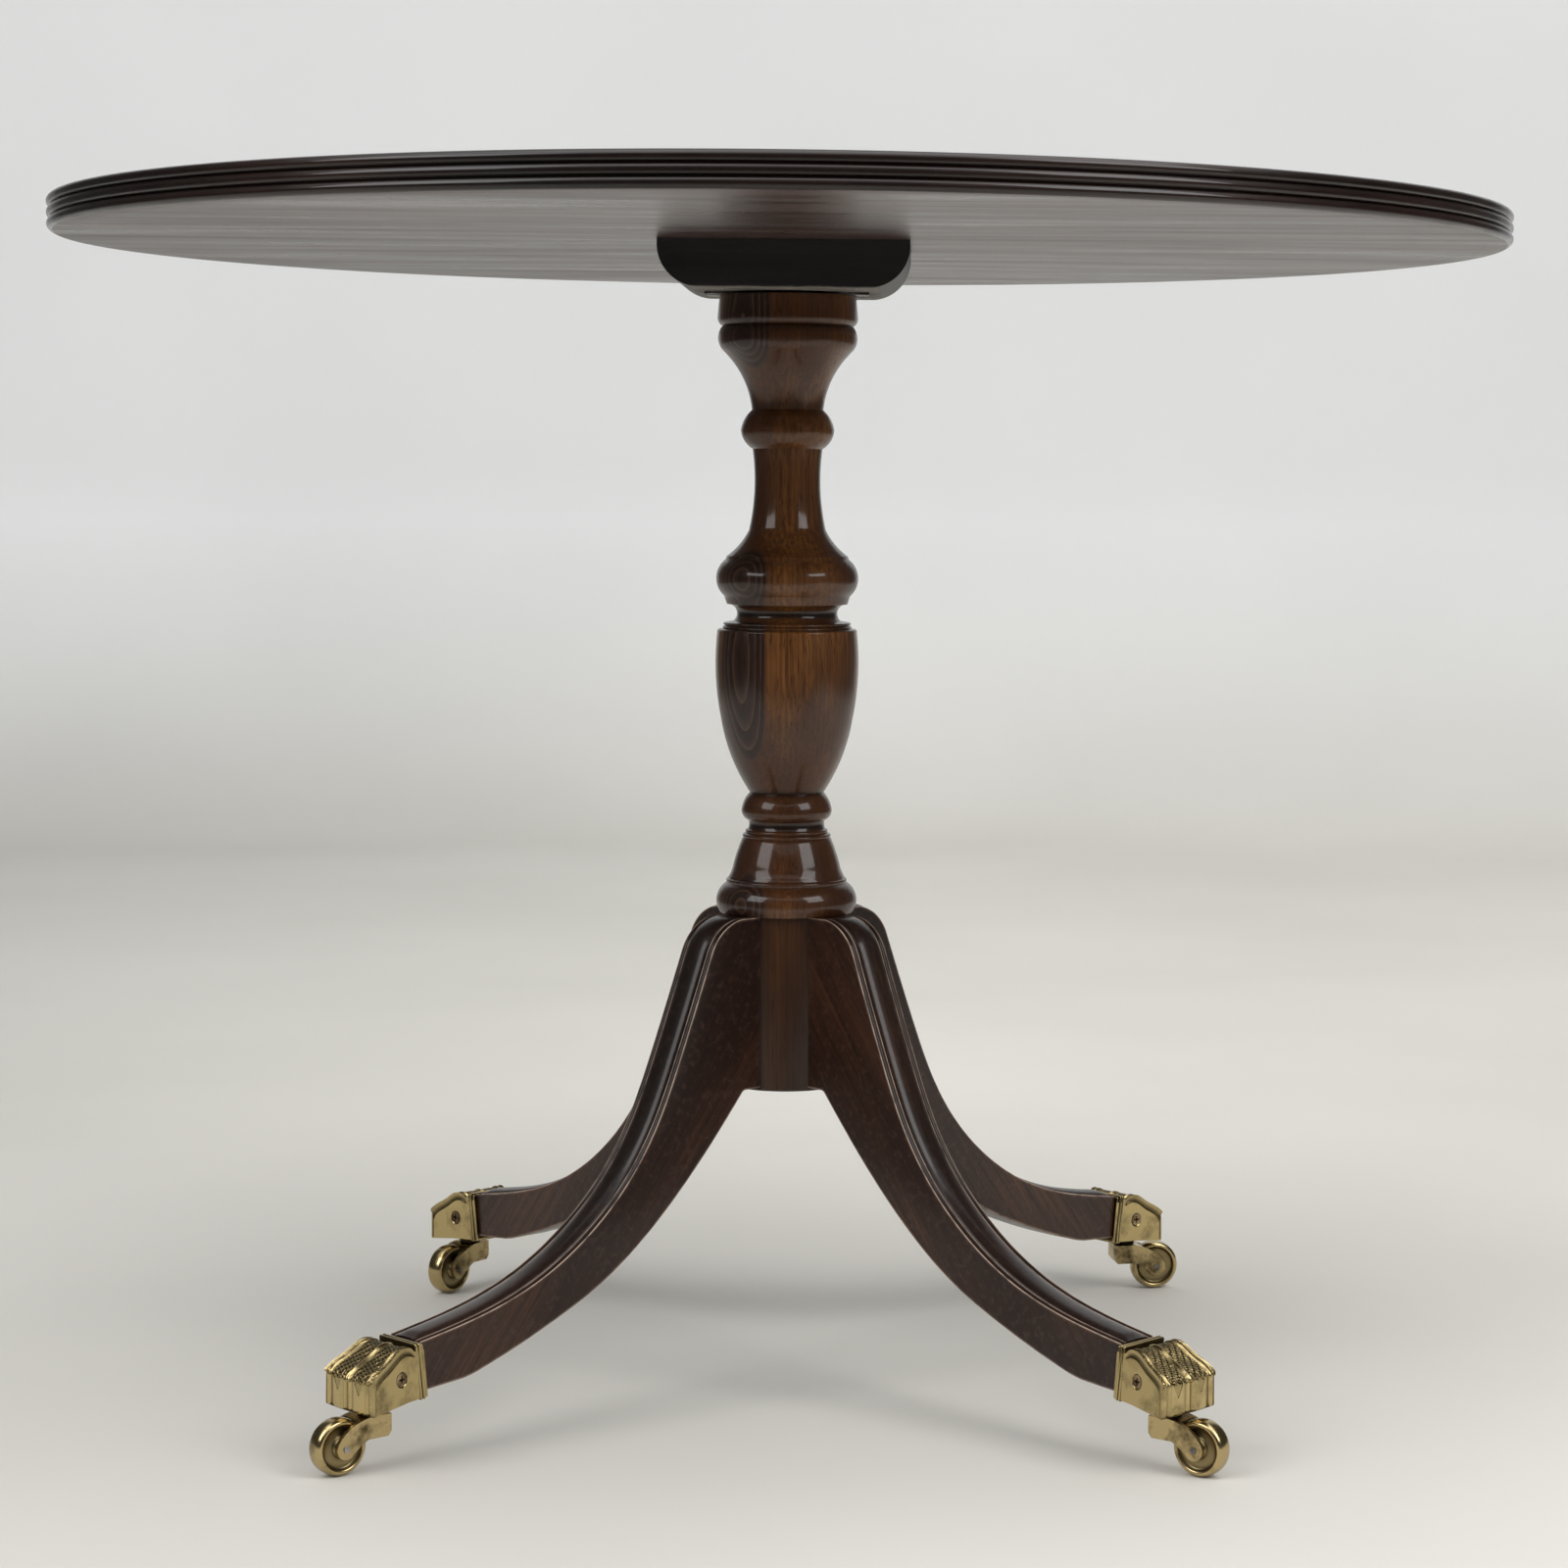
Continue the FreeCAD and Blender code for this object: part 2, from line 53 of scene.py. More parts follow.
camera = bpy.data.objects.new("camera", bpy.data.cameras.new("camera"))
bpy.context.scene.collection.objects.link(camera)
camera.matrix_world = (Matrix.Translation(CAMERA_PLACE)
                       @ Matrix.Rotation(-CAMERA_HEADING, 4, "Z")
                       @ Matrix.Rotation(math.pi / 2 + CAMERA_PITCH, 4, "X")
                       @ Matrix.Rotation(CAMERA_ROLL, 4, "Z"))
camera.data.sensor_width = 36.0
camera.data.lens = 81.63
camera.data.shift_x = -0.127
camera.data.dof.use_dof = False
bpy.context.scene.camera = camera

# ---------------------------------------------------------------- studio paper
# A pale paper floor that curves up into a wall all the way round, clear from its back, so a
# look from beneath still shows the table; the floor is painted darker towards the left, as painted
# shade.  Polish on the table mirrors a dark room in front and at the sides, where the paper would
# end in a real studio: there the paper turns dark in reflections only.
PAPER_CENTRE_Y = -2.6
FLOOR_RADIUS = 5.9
COVE_RADIUS = 0.6
WALL_HEIGHT = 6.0
PAPER_AROUND = 96


def turned_rows(outline, around):
    """Rows of points (r cos a, r sin a, z): an outline of (r, z) points carried round Z."""
    outline = np.asarray(outline, float)
    angle = np.linspace(0, 2 * np.pi, around, endpoint=False)
    r, z = outline[:, :1], outline[:, 1:]
    return np.stack([r * np.cos(angle), r * np.sin(angle), z + 0 * angle], -1)


def row_quads(steps, around):
    """Quads between neighbouring rows of a (steps, around) grid whose rows close on themselves."""
    row = np.arange(steps - 1)[:, None] * around
    here = np.arange(around)[None]
    ahead = np.roll(np.arange(around), -1)[None]
    quads = [row + here, row + ahead, row + around + ahead, row + around + here]
    return np.stack(quads, -1).reshape(-1, 4).tolist()


def new_piece(name, points, faces, sharp=35.0, closed=True, **marks):
    """A mesh object at the origin, from points in metres; edges over sharp degrees stay crisp.

    Each mark is a number, or three, for each point, kept as an attribute of that name.
    """
    mesh = bpy.data.meshes.new(name)
    mesh.from_pydata(np.asarray(points, float).reshape(-1, 3).tolist(), [], faces)
    for mark, values in marks.items():
        values = np.asarray(values, np.float32)
        if values.shape[-1] == 3:
            mesh.attributes.new(mark, "FLOAT_VECTOR", "POINT").data.foreach_set("vector", values.ravel())
        else:
            mesh.attributes.new(mark, "FLOAT", "POINT").data.foreach_set("value", values.ravel())
    if closed:
        shell = bmesh.new()
        shell.from_mesh(mesh)
        bmesh.ops.remove_doubles(shell, verts=shell.verts, dist=1e-6)
        bmesh.ops.recalc_face_normals(shell, faces=shell.faces)
        shell.to_mesh(mesh)
        shell.free()
    mesh.shade_smooth()
    mesh.set_sharp_from_angle(angle=math.radians(sharp))
    piece = bpy.data.objects.new(name, mesh)
    bpy.context.scene.collection.objects.link(piece)
    return piece


def node(tree, kind, inputs=(), **settings):
    """A shader node; an input is another node's output or a plain value for the socket."""
    made = tree.nodes.new("ShaderNode" + kind)
    for setting, value in settings.items():
        setattr(made, setting, value)
    for socket, value in dict(inputs).items():
        if isinstance(value, bpy.types.NodeSocket):
            tree.links.new(value, made.inputs[socket])
        else:
            made.inputs[socket].default_value = value
    return made


def sums(tree, operation, *values):
    """A Math node on values that are outputs or numbers; gives its output."""
    return node(tree, "Math", dict(enumerate(values)), operation=operation).outputs[0]


def between(tree, value, low, high, to_low=0.0, to_high=1.0):
    """The value spread from low..high to to_low..to_high, and held at the ends."""
    return node(tree, "MapRange", {0: value, 1: low, 2: high, 3: to_low, 4: to_high}).outputs[0]


def tones(tree, factor, *stops):
    """Colour along a ramp of (position, (r, g, b)) stops."""
    made = node(tree, "ValToRGB", {"Fac": factor})
    elements = made.color_ramp.elements
    while len(elements) < len(stops):
        elements.new(0.5)
    for element, (position, colour) in zip(elements, stops):
        element.position = position
        element.color = (*colour, 1)
    return made.outputs["Color"]


def blended(tree, factor, first, second, blend_type="MIX"):
    """Two colours mixed by factor; each is an output or (r, g, b)."""
    made = node(tree, "Mix", {"Factor": factor}, data_type="RGBA", blend_type=blend_type)
    for socket, colour in ((made.inputs[6], first), (made.inputs[7], second)):
        if isinstance(colour, bpy.types.NodeSocket):
            tree.links.new(colour, socket)
        else:
            socket.default_value = (*colour, 1)
    return made.outputs[2]


def object_place(tree, scale=(1, 1, 1), move=(0, 0, 0), turn=(0, 0, 0)):
    """Object coordinates moved, turned and stretched."""
    coords = node(tree, "TexCoord").outputs["Object"]
    mapping = {"Vector": coords, "Location": move, "Rotation": turn, "Scale": scale}
    return node(tree, "Mapping", mapping).outputs[0]


def noise(tree, place, scale, detail=2.0, roughness=0.5):
    """Soft noise from 0 to 1 at a place."""
    inputs = {"Vector": place, "Scale": scale, "Detail": detail, "Roughness": roughness}
    return node(tree, "TexNoise", inputs).outputs["Fac"]


def new_material(name, **values):
    """A Principled material, its plain values set on the shader's own sockets."""
    material = bpy.data.materials.new(name)
    material.use_nodes = True
    shader = material.node_tree.nodes["Principled BSDF"]
    for socket, value in values.items():
        shader.inputs[socket.replace("_", " ")].default_value = value
    return material, material.node_tree, shader


def wired(tree, shader, **outputs):
    """Joins outputs to the shader's sockets."""
    for socket, output in outputs.items():
        tree.links.new(output, shader.inputs[socket.replace("_", " ")])


def bumped(tree, height, distance):
    """A normal tilted by a height from 0 to 1 that stands for distance in metres."""
    return node(tree, "Bump", {"Height": height, "Distance": distance, "Strength": 1.0}).outputs[0]


def dress(material, *nodes):
    """Gives CAD nodes a material."""
    for name in nodes:
        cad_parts[name].data.materials.clear()
        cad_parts[name].data.materials.append(material)


cove = np.linspace(0, math.pi / 2, 20)
paper_outline = np.concatenate([
    [[FLOOR_RADIUS + COVE_RADIUS, WALL_HEIGHT]],
    np.stack([FLOOR_RADIUS + COVE_RADIUS * np.cos(cove), COVE_RADIUS * (1 - np.sin(cove))], -1),
    [[2.0, 0.0], [0.001, 0.0]]])
paper_rows = turned_rows(paper_outline, PAPER_AROUND) + np.array([0, PAPER_CENTRE_Y, 0])
paper_quads = row_quads(len(paper_outline), PAPER_AROUND)
paper = new_piece("studio_paper", paper_rows, paper_quads, closed=False)
paper_material, tree, shader = new_material("studio_paper", Roughness=0.8)
place = object_place(tree)
x, y, z = node(tree, "SeparateXYZ", {0: place}).outputs
cloudy = noise(tree, place, 1.3, 3.0)
floor_tone = tones(tree, cloudy, (0.3, (0.60, 0.585, 0.54)), (0.7, (0.66, 0.64, 0.595)))
# Painted shade: the floor darkens towards the left.
floor_with_painted_shade = blended(tree, between(tree, x, -1.3, 0.1, 0.36, 0.0), floor_tone, (0.20, 0.20, 0.19))
wall_tone = tones(tree, cloudy, (0.3, (0.76, 0.77, 0.775)), (0.7, (0.80, 0.81, 0.815)))
paper_with_floor_shade = blended(tree, between(tree, z, 0.0, 0.5), floor_with_painted_shade, wall_tone)
in_front = between(tree, y, -0.7, -1.6)
to_the_side = between(tree, sums(tree, "ABSOLUTE", x), 1.7, 2.8)
mirrored = node(tree, "LightPath").outputs["Is Glossy Ray"]
in_shade = sums(tree, "MULTIPLY", mirrored, sums(tree, "MAXIMUM", in_front, to_the_side))
wired(tree, shader, Base_Color=blended(tree, in_shade, paper_with_floor_shade, (0.05, 0.05, 0.05)))
clear = node(tree, "BsdfTransparent").outputs[0]
behind = node(tree, "NewGeometry").outputs["Backfacing"]
one_sided = node(tree, "MixShader", {0: behind, 1: shader.outputs[0], 2: clear})
tree.links.new(one_sided.outputs[0], tree.nodes["Material Output"].inputs["Surface"])
paper.data.materials.append(paper_material)


# ---------------------------------------------------------------- light
# A broad soft light overhead, two tall soft lights in front at left and right,
# which put paired upright glints on the turnings, and an even pale sky.
def soft_light(name, place, aim, width, height, power):
    """A rectangular area light at place that faces aim."""
    data = bpy.data.lights.new(name, "AREA")
    data.shape = "RECTANGLE"
    data.size, data.size_y, data.energy = width, height, power
    lamp = bpy.data.objects.new(name, data)
    lamp.location = place
    lamp.rotation_euler = (Vector(aim) - Vector(place)).to_track_quat("-Z", "Y").to_euler()
    bpy.context.scene.collection.objects.link(lamp)


soft_light("overhead", (0.2, -0.6, 4.4), (0, 0, 0.4), 5.0, 4.0, 104)
soft_light("window_left", (-2.3, -1.7, 2.35), (0, 0, 0.45), 1.8, 2.1, 47)
soft_light("window_right", (2.3, -1.7, 2.35), (0, 0, 0.45), 1.7, 2.1, 51)
world = bpy.data.worlds.new("pale_sky")
world.use_nodes = True
sky = world.node_tree.nodes["Background"]
sky.inputs["Color"].default_value = (1.0, 1.0, 1.0, 1)
sky.inputs["Strength"].default_value = 0.67
bpy.context.scene.world = world
bpy.context.scene.view_settings.view_transform = "Standard"


# ---------------------------------------------------------------- top panel
# A round board 20 mm thick, veneered in mahogany on both faces: polished above, with a
# crossbanded border, and left satin beneath.  Its grain runs from side to side.
def flat_radius(tree, place):
    """The distance of a place from the Z axis."""
    flat = node(tree, "VectorMath", {0: place, 1: (1, 1, 0)}, operation="MULTIPLY").outputs[0]
    return node(tree, "VectorMath", {0: flat}, operation="LENGTH").outputs["Value"]


def board_figure_group():
    """The figure of a sawn board whose grain runs along Z and whose pith lies on the Z axis.

    Ring: the distance from the pith over the ring gap, its fraction raised to a power, so each
    ring ends in a thin line.  Heart: 1 inside the heart radius.  Streak and Pore: noise drawn
    out along the grain.  Cloud: broad soft patches.
    """
    group = bpy.data.node_groups.new("board_figure", "ShaderNodeTree")
    face = group.interface
    face.new_socket("Board", in_out="INPUT", socket_type="NodeSocketVector")
    face.new_socket("Ring gap", in_out="INPUT", socket_type="NodeSocketFloat")
    face.new_socket("Heart radius", in_out="INPUT", socket_type="NodeSocketFloat")
    for name in ("Ring", "Heart", "Streak", "Pore", "Cloud"):
        face.new_socket(name, in_out="OUTPUT", socket_type="NodeSocketFloat")
    given = group.nodes.new("NodeGroupInput").outputs
    result = group.nodes.new("NodeGroupOutput").inputs

    def drawn_out(across, along):
        """The board's place, its scale across and along the grain."""
        return node(group, "Mapping", {"Vector": given["Board"], "Scale": (across, across, along)}).outputs[0]

    def vectors(operation, first, second):
        """A Vector Math node on two vectors; gives its output."""
        return node(group, "VectorMath", {0: first, 1: second}, operation=operation).outputs[0]

    wander = node(group, "TexNoise", {"Vector": drawn_out(9, 2.2), "Scale": 1.0, "Detail": 3.0})
    centred = vectors("SUBTRACT", wander.outputs["Color"], (0.5, 0.5, 0.5))
    bent = vectors("ADD", given["Board"], vectors("MULTIPLY", centred, (0.016, 0.016, 0)))
    distance = flat_radius(group, bent)
    ring = sums(group, "FRACT", sums(group, "DIVIDE", distance, given["Ring gap"]))
    group.links.new(sums(group, "POWER", ring, 4.0), result["Ring"])
    inside = sums(group, "SUBTRACT", given["Heart radius"], distance)
    group.links.new(between(group, inside, -0.0012, 0.0012), result["Heart"])
    group.links.new(between(group, noise(group, drawn_out(420, 9), 1.0, 3.0), 0.36, 0.66), result["Streak"])
    group.links.new(between(group, noise(group, drawn_out(1300, 55), 1.0, 1.0), 0.58, 0.68), result["Pore"])
    group.links.new(between(group, noise(group, drawn_out(17, 4.5), 1.0, 4.0), 0.32, 0.68), result["Cloud"])
    return group


BOARD_FIGURE = board_figure_group()


def board_figure(tree, board, ring_gap, heart_radius=0.0):
    """The figure's outputs by name, for a board's place with lengths in metres."""
    made = node(tree, "Group", node_tree=BOARD_FIGURE)
    tree.links.new(board, made.inputs["Board"])
    made.inputs["Ring gap"].default_value = ring_gap
    made.inputs["Heart radius"].default_value = heart_radius
    return made.outputs


def veneer_tone(tree, figure, dark, middle, light):
    """Patches from dark to light, finely streaked and pored."""
    patches = tones(tree, figure["Cloud"], (0.0, dark), (0.5, middle), (1.0, light))
    streaked = blended(tree, sums(tree, "MULTIPLY", figure["Streak"], 0.55), patches, dark)
    ringed = blended(tree, sums(tree, "MULTIPLY", figure["Ring"], 0.45), streaked, dark)
    return blended(tree, sums(tree, "MULTIPLY", figure["Pore"], 0.5), ringed, tuple(c * 0.35 for c in dark))


ALONG_X = (0, math.pi / 2, 0)


def satin_underside(tree):
    """Colour and roughness of the veneer beneath, greyed along its grain by a painted sheen."""
    figure = board_figure(tree, object_place(tree, turn=ALONG_X, move=(0.3, 0.5, 0.1)), 0.019)
    satin = veneer_tone(tree, figure, (0.028, 0.012, 0.010), (0.052, 0.024, 0.019), (0.082, 0.043, 0.034))
    grey_wipes = noise(tree, object_place(tree, scale=(3.5, 34, 1)), 1.0, 4.0, 0.6)
    # Painted sheen: grey wipes along the grain lighten the satin, in place of the pale room it mirrors at a
    # grazing angle.
    satin_with_painted_sheen = blended(tree, between(tree, grey_wipes, 0.42, 0.72, 0.0, 0.4), satin, (0.095, 0.072, 0.064))
    return satin_with_painted_sheen, between(tree, grey_wipes, 0.3, 0.7, 0.24, 0.40)


BAND_INNER_RADIUS = 0.392
BAND_TURN_LENGTH = 0.43
STRINGING_WIDTH = 0.0016
panel_low, panel_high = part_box("top_panel")

top_face, tree, shader = new_material("polished_top_veneer", Coat_Roughness=0.09)
place = object_place(tree)
x, y, z = node(tree, "SeparateXYZ", {0: place}).outputs
field = board_figure(tree, object_place(tree, turn=ALONG_X, move=(0.62, 0.16, 0.0)), 0.011)
field_tone = veneer_tone(tree, field, (0.030, 0.010, 0.005), (0.072, 0.024, 0.010), (0.125, 0.045, 0.018))
radius = flat_radius(tree, place)
round_band = sums(tree, "MULTIPLY", sums(tree, "ARCTAN2", y, x), BAND_TURN_LENGTH)
band = board_figure(tree, node(tree, "CombineXYZ", {0: round_band, 1: 0.35, 2: radius}).outputs[0], 0.006)
band_tone = veneer_tone(tree, band, (0.026, 0.009, 0.005), (0.060, 0.020, 0.009), (0.095, 0.033, 0.014))
off_line = sums(tree, "ABSOLUTE", sums(tree, "SUBTRACT", radius, BAND_INNER_RADIUS))
bordered = blended(tree, sums(tree, "GREATER_THAN", radius, BAND_INNER_RADIUS), field_tone, band_tone)
upper = blended(tree, sums(tree, "LESS_THAN", off_line, STRINGING_WIDTH / 2), bordered, (0.012, 0.007, 0.005))
satin_with_painted_sheen, under_rough = satin_underside(tree)
is_upper = sums(tree, "GREATER_THAN", z, (panel_low.z + panel_high.z) / 2)
upper_gain = sums(tree, "SUBTRACT", 0.3, under_rough)
wired(tree, shader, Base_Color=blended(tree, is_upper, satin_with_painted_sheen, upper),
      Roughness=sums(tree, "MULTIPLY_ADD", is_upper, upper_gain, under_rough),
      Coat_Weight=sums(tree, "MULTIPLY", is_upper, 0.8),
      Normal=bumped(tree, field["Pore"], 0.00004))
dress(top_face, "top_panel")


# ---------------------------------------------------------------- reeded edge
# A solid mahogany lipping glued round the panel, worked with three equal rounded reeds,
# stained almost black and polished.  The panel's veneer runs over its flat upper and lower faces.
EDGE_WIDTH = 0.018
REED_COUNT = 3
REED_DEPTH = 0.0026
EDGE_BACK = 0.0030
REED_FULLNESS = 0.93
edge_low, edge_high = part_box("reeded_edge")
EDGE_RADIUS = edge_high.x


def reeded_profile(per_reed=18):
    """(r, z) round the lipping's section, and how far each point lies in a valley.

    Each reed's face is r = R - d (1 - sqrt(1 - t^2)) / (1 - sqrt(1 - k^2)) with t from -k to k
    across the reed and k its fullness, so reeds meet in crisp valleys; the outer backs run
    into the flat faces.
    """
    across = np.linspace(-1, 1, per_reed)
    dip = (1 - np.sqrt(1 - (REED_FULLNESS * across) ** 2)) / (1 - math.sqrt(1 - REED_FULLNESS ** 2))
    pitch = (edge_high.z - edge_low.z) / REED_COUNT
    r, z, valley = [], [], []
    for reed in range(REED_COUNT):
        depth = dip * REED_DEPTH
        joins = [reed > 0, reed < REED_COUNT - 1]
        valley.append(dip * np.where(across < 0, *joins))
        if reed == 0:
            depth = np.where(across < 0, dip * pitch / 2, depth)
        if reed == REED_COUNT - 1:
            depth = np.where(across > 0, dip * pitch / 2, depth)
        r.append(EDGE_RADIUS - depth)
        z.append(edge_low.z + pitch * (reed + (across + 1) / 2))
    r, z = np.concatenate(r), np.concatenate(z)
    inner = EDGE_RADIUS - EDGE_WIDTH
    profile = np.concatenate([[[inner, edge_low.z]], np.stack([r, z], -1), [[inner, edge_high.z]],
                              [[inner, edge_low.z]]])
    return profile, np.concatenate([[0], *valley, [0, 0]])


EDGE_AROUND = 512
edge_profile, edge_valley = reeded_profile()
edge_rows = turned_rows(edge_profile, EDGE_AROUND)
edge_piece = new_piece("reeded_edge_polished", edge_rows, row_quads(len(edge_rows), EDGE_AROUND), sharp=50,
                       hollow=np.repeat(edge_valley, EDGE_AROUND))
edge_wood, tree, shader = new_material("polished_edge", Coat_Weight=0.5, Coat_Roughness=0.07,
                                       Specular_IOR_Level=0.2)
x, y, z = node(tree, "SeparateXYZ", {0: object_place(tree)}).outputs
round_edge = sums(tree, "MULTIPLY", sums(tree, "ARCTAN2", y, x), EDGE_RADIUS)
along_edge = node(tree, "CombineXYZ", {0: z, 1: 0.06, 2: round_edge}).outputs[0]
figure = board_figure(tree, along_edge, 0.004)
edge_tone = veneer_tone(tree, figure, (0.006, 0.003, 0.0025), (0.013, 0.006, 0.0045), (0.026, 0.011, 0.007))
hollow = node(tree, "Attribute", attribute_name="hollow").outputs["Fac"]
# Painted shade: the valleys between the reeds are darkened.
valley_shade = between(tree, hollow, 0.3, 1.0, 0.0, 0.8)
wired(tree, shader, Base_Color=blended(tree, valley_shade, edge_tone, (0.003, 0.002, 0.0015)),
      Roughness=between(tree, noise(tree, along_edge, 30, 3.0), 0.3, 0.7, 0.28, 0.42),
      Normal=bumped(tree, figure["Streak"], 0.00002))
edge_piece.data.materials.append(edge_wood)
edge_piece.data.materials.append(top_face)
edge_faces = edge_piece.data.polygons
centres, normals = np.empty(len(edge_faces) * 3), np.empty(len(edge_faces) * 3)
edge_faces.foreach_get("center", centres)
edge_faces.foreach_get("normal", normals)
centres, normals = centres.reshape(-1, 3), normals.reshape(-1, 3)
is_inside = np.hypot(centres[:, 0], centres[:, 1]) < EDGE_RADIUS - EDGE_BACK
is_flat = (np.abs(normals[:, 2]) > 0.99) & is_inside
edge_faces.foreach_set("material_index", is_flat.astype(np.int32))
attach(edge_piece, "table")
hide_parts("reeded_edge")


# ---------------------------------------------------------------- block, plate and screws
# A bearer with quarter-round lower ends is screwed up under the top and painted black, its
# underside left bare, its grey partly a painted reflection of the pale floor below; a thin
# steel plate between it and the column's cap is screwed to it.
def softened_copy(name, source, radius):
    """A copy of a CAD node, merged and with its flat facets joined, its sharp edges rounded."""
    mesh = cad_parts[source].data.copy()
    mesh.materials.clear()
    shell = bmesh.new()
    shell.from_mesh(mesh)
    bmesh.ops.remove_doubles(shell, verts=shell.verts, dist=2e-6)
    bmesh.ops.dissolve_limit(shell, angle_limit=math.radians(0.4), verts=shell.verts, edges=shell.edges)
    shell.to_mesh(mesh)
    shell.free()
    piece = bpy.data.objects.new(name, mesh)
    bpy.context.scene.collection.objects.link(piece)
    bevel = piece.modifiers.new("softened", "BEVEL")
    bevel.width = radius
    bevel.segments = 2
    bevel.limit_method = "ANGLE"
    bevel.angle_limit = math.radians(40)
    bevel.harden_normals = True
    mesh.shade_smooth()
    mesh.set_sharp_from_angle(angle=math.radians(35))
    return piece


block_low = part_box("mounting_block")[0]
block = softened_copy("mounting_block_painted", "mounting_block", 0.0008)
block_paint, tree, shader = new_material("painted_block", Roughness=0.6)
place = object_place(tree)
figure = board_figure(tree, object_place(tree, turn=ALONG_X, move=(0.6, 0.02, 0.03)), 0.005)
paint_tone = tones(tree, noise(tree, object_place(tree, scale=(6, 30, 60)), 1.0, 4.0),
                   (0.3, (0.006, 0.0055, 0.005)), (0.7, (0.015, 0.0135, 0.012)))
# The grey underside: bare wood, with a painted reflection of the lit floor in its colour.
underside_tone = veneer_tone(tree, figure, (0.10, 0.085, 0.07), (0.20, 0.175, 0.15), (0.30, 0.27, 0.24))
stained = blended(tree, between(tree, noise(tree, place, 55, 5.0, 0.6), 0.4, 0.65, 0.0, 0.75), underside_tone,
                  (0.055, 0.048, 0.042))
height = node(tree, "SeparateXYZ", {0: place}).outputs[2]
ragged = sums(tree, "MULTIPLY_ADD", noise(tree, place, 120, 3.0), 0.0012, block_low.z + 0.0002)
is_grey_underside = between(tree, sums(tree, "SUBTRACT", ragged, height), -0.0001, 0.0003)
wired(tree, shader, Base_Color=blended(tree, is_grey_underside, paint_tone, stained),
      Roughness=between(tree, is_grey_underside, 0, 1, 0.5, 0.75),
      Normal=bumped(tree, sums(tree, "ADD", figure["Streak"], noise(tree, place, 400, 2.0)), 0.00005))
block.data.materials.append(block_paint)
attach(block, "table")
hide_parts("mounting_block")


def metal(name, bright, dull, dull_share, rough, brushed=(1, 1, 1), hollow_mark=False):
    """Metal mottled from bright to dull, its roughness with it; hollows are dull where marked."""
    material, tree, shader = new_material(name, Metallic=1.0)
    place = object_place(tree)
    low, high = 0.62 - dull_share * 0.4, 0.82 - dull_share * 0.4
    dulled = between(tree, noise(tree, place, 60.0, 5.0, 0.62), low, high)
    if hollow_mark:
        in_hollow = node(tree, "Attribute", attribute_name="hollow").outputs["Fac"]
        dulled = sums(tree, "MAXIMUM", sums(tree, "MULTIPLY", dulled, 0.5), in_hollow)
    scratched = noise(tree, object_place(tree, scale=brushed), 900, 2.0)
    height = sums(tree, "MULTIPLY_ADD", scratched, 0.5, noise(tree, place, 220, 3.0))
    wired(tree, shader, Base_Color=blended(tree, dulled, bright, dull),
          Roughness=sums(tree, "ADD", between(tree, dulled, 0, 1, rough, rough + 0.28),
                         sums(tree, "MULTIPLY", scratched, 0.08)),
          Normal=bumped(tree, height, 0.000025))
    return material


dark_steel = metal("blackened_steel", (0.20, 0.19, 0.18), (0.045, 0.038, 0.032), 0.5, 0.38)
plate = softened_copy("mounting_plate_steel", "mounting_plate", 0.0003)
plate.data.materials.append(dark_steel)
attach(plate, "table")
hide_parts("mounting_plate")


screw_steel = metal("screw_steel", (0.42, 0.40, 0.37), (0.12, 0.09, 0.07), 0.45, 0.32, brushed=(8, 1, 1))
dress(screw_steel, "block_screws", "plate_screws")


# ---------------------------------------------------------------- column
# One mahogany turning between the plate and the legs: cap, neck, bulb, slender shaft, bell,
# vase, ring, spreading foot, and the plain core that the legs slide up into.
def along_arc(start, middle, end, count):
    """Points from start to end on the circle through the three, start left out.

    The centre solves |c - start| = |c - middle| = |c - end|; the angle runs evenly between
    the ends the way that passes the middle.
    """
    a, b, c = (np.asarray(p, float) for p in (start, middle, end))
    centre = np.linalg.solve(2 * np.array([b - a, c - a]), np.array([b @ b - a @ a, c @ c - a @ a]))
    turn = [math.atan2(*(p - centre)[::-1]) for p in (a, b, c)]
    sweep = (turn[2] - turn[0]) % (2 * math.pi)
    if (turn[1] - turn[0]) % (2 * math.pi) > sweep:
        sweep -= 2 * math.pi
    angle = turn[0] + sweep * np.linspace(0, 1, count + 1)[1:, None]
    return centre + np.linalg.norm(a - centre) * np.concatenate([np.cos(angle), np.sin(angle)], 1)


def outline_points(start, steps, spacing):
    """Points along an outline: a step of two numbers is a line, one of four an arc's middle and end."""
    points = [np.asarray([start], float)]
    for step in steps:
        here, there = points[-1][-1], np.asarray(step[-2:], float)
        count = max(1, int(np.linalg.norm(there - here) / spacing))
        if len(step) == 2:
            points.append(here + (there - here) * np.linspace(0, 1, count + 1)[1:, None])
        else:
            points.append(along_arc(here, step[:2], there, max(6, count)))
    return np.concatenate(points)


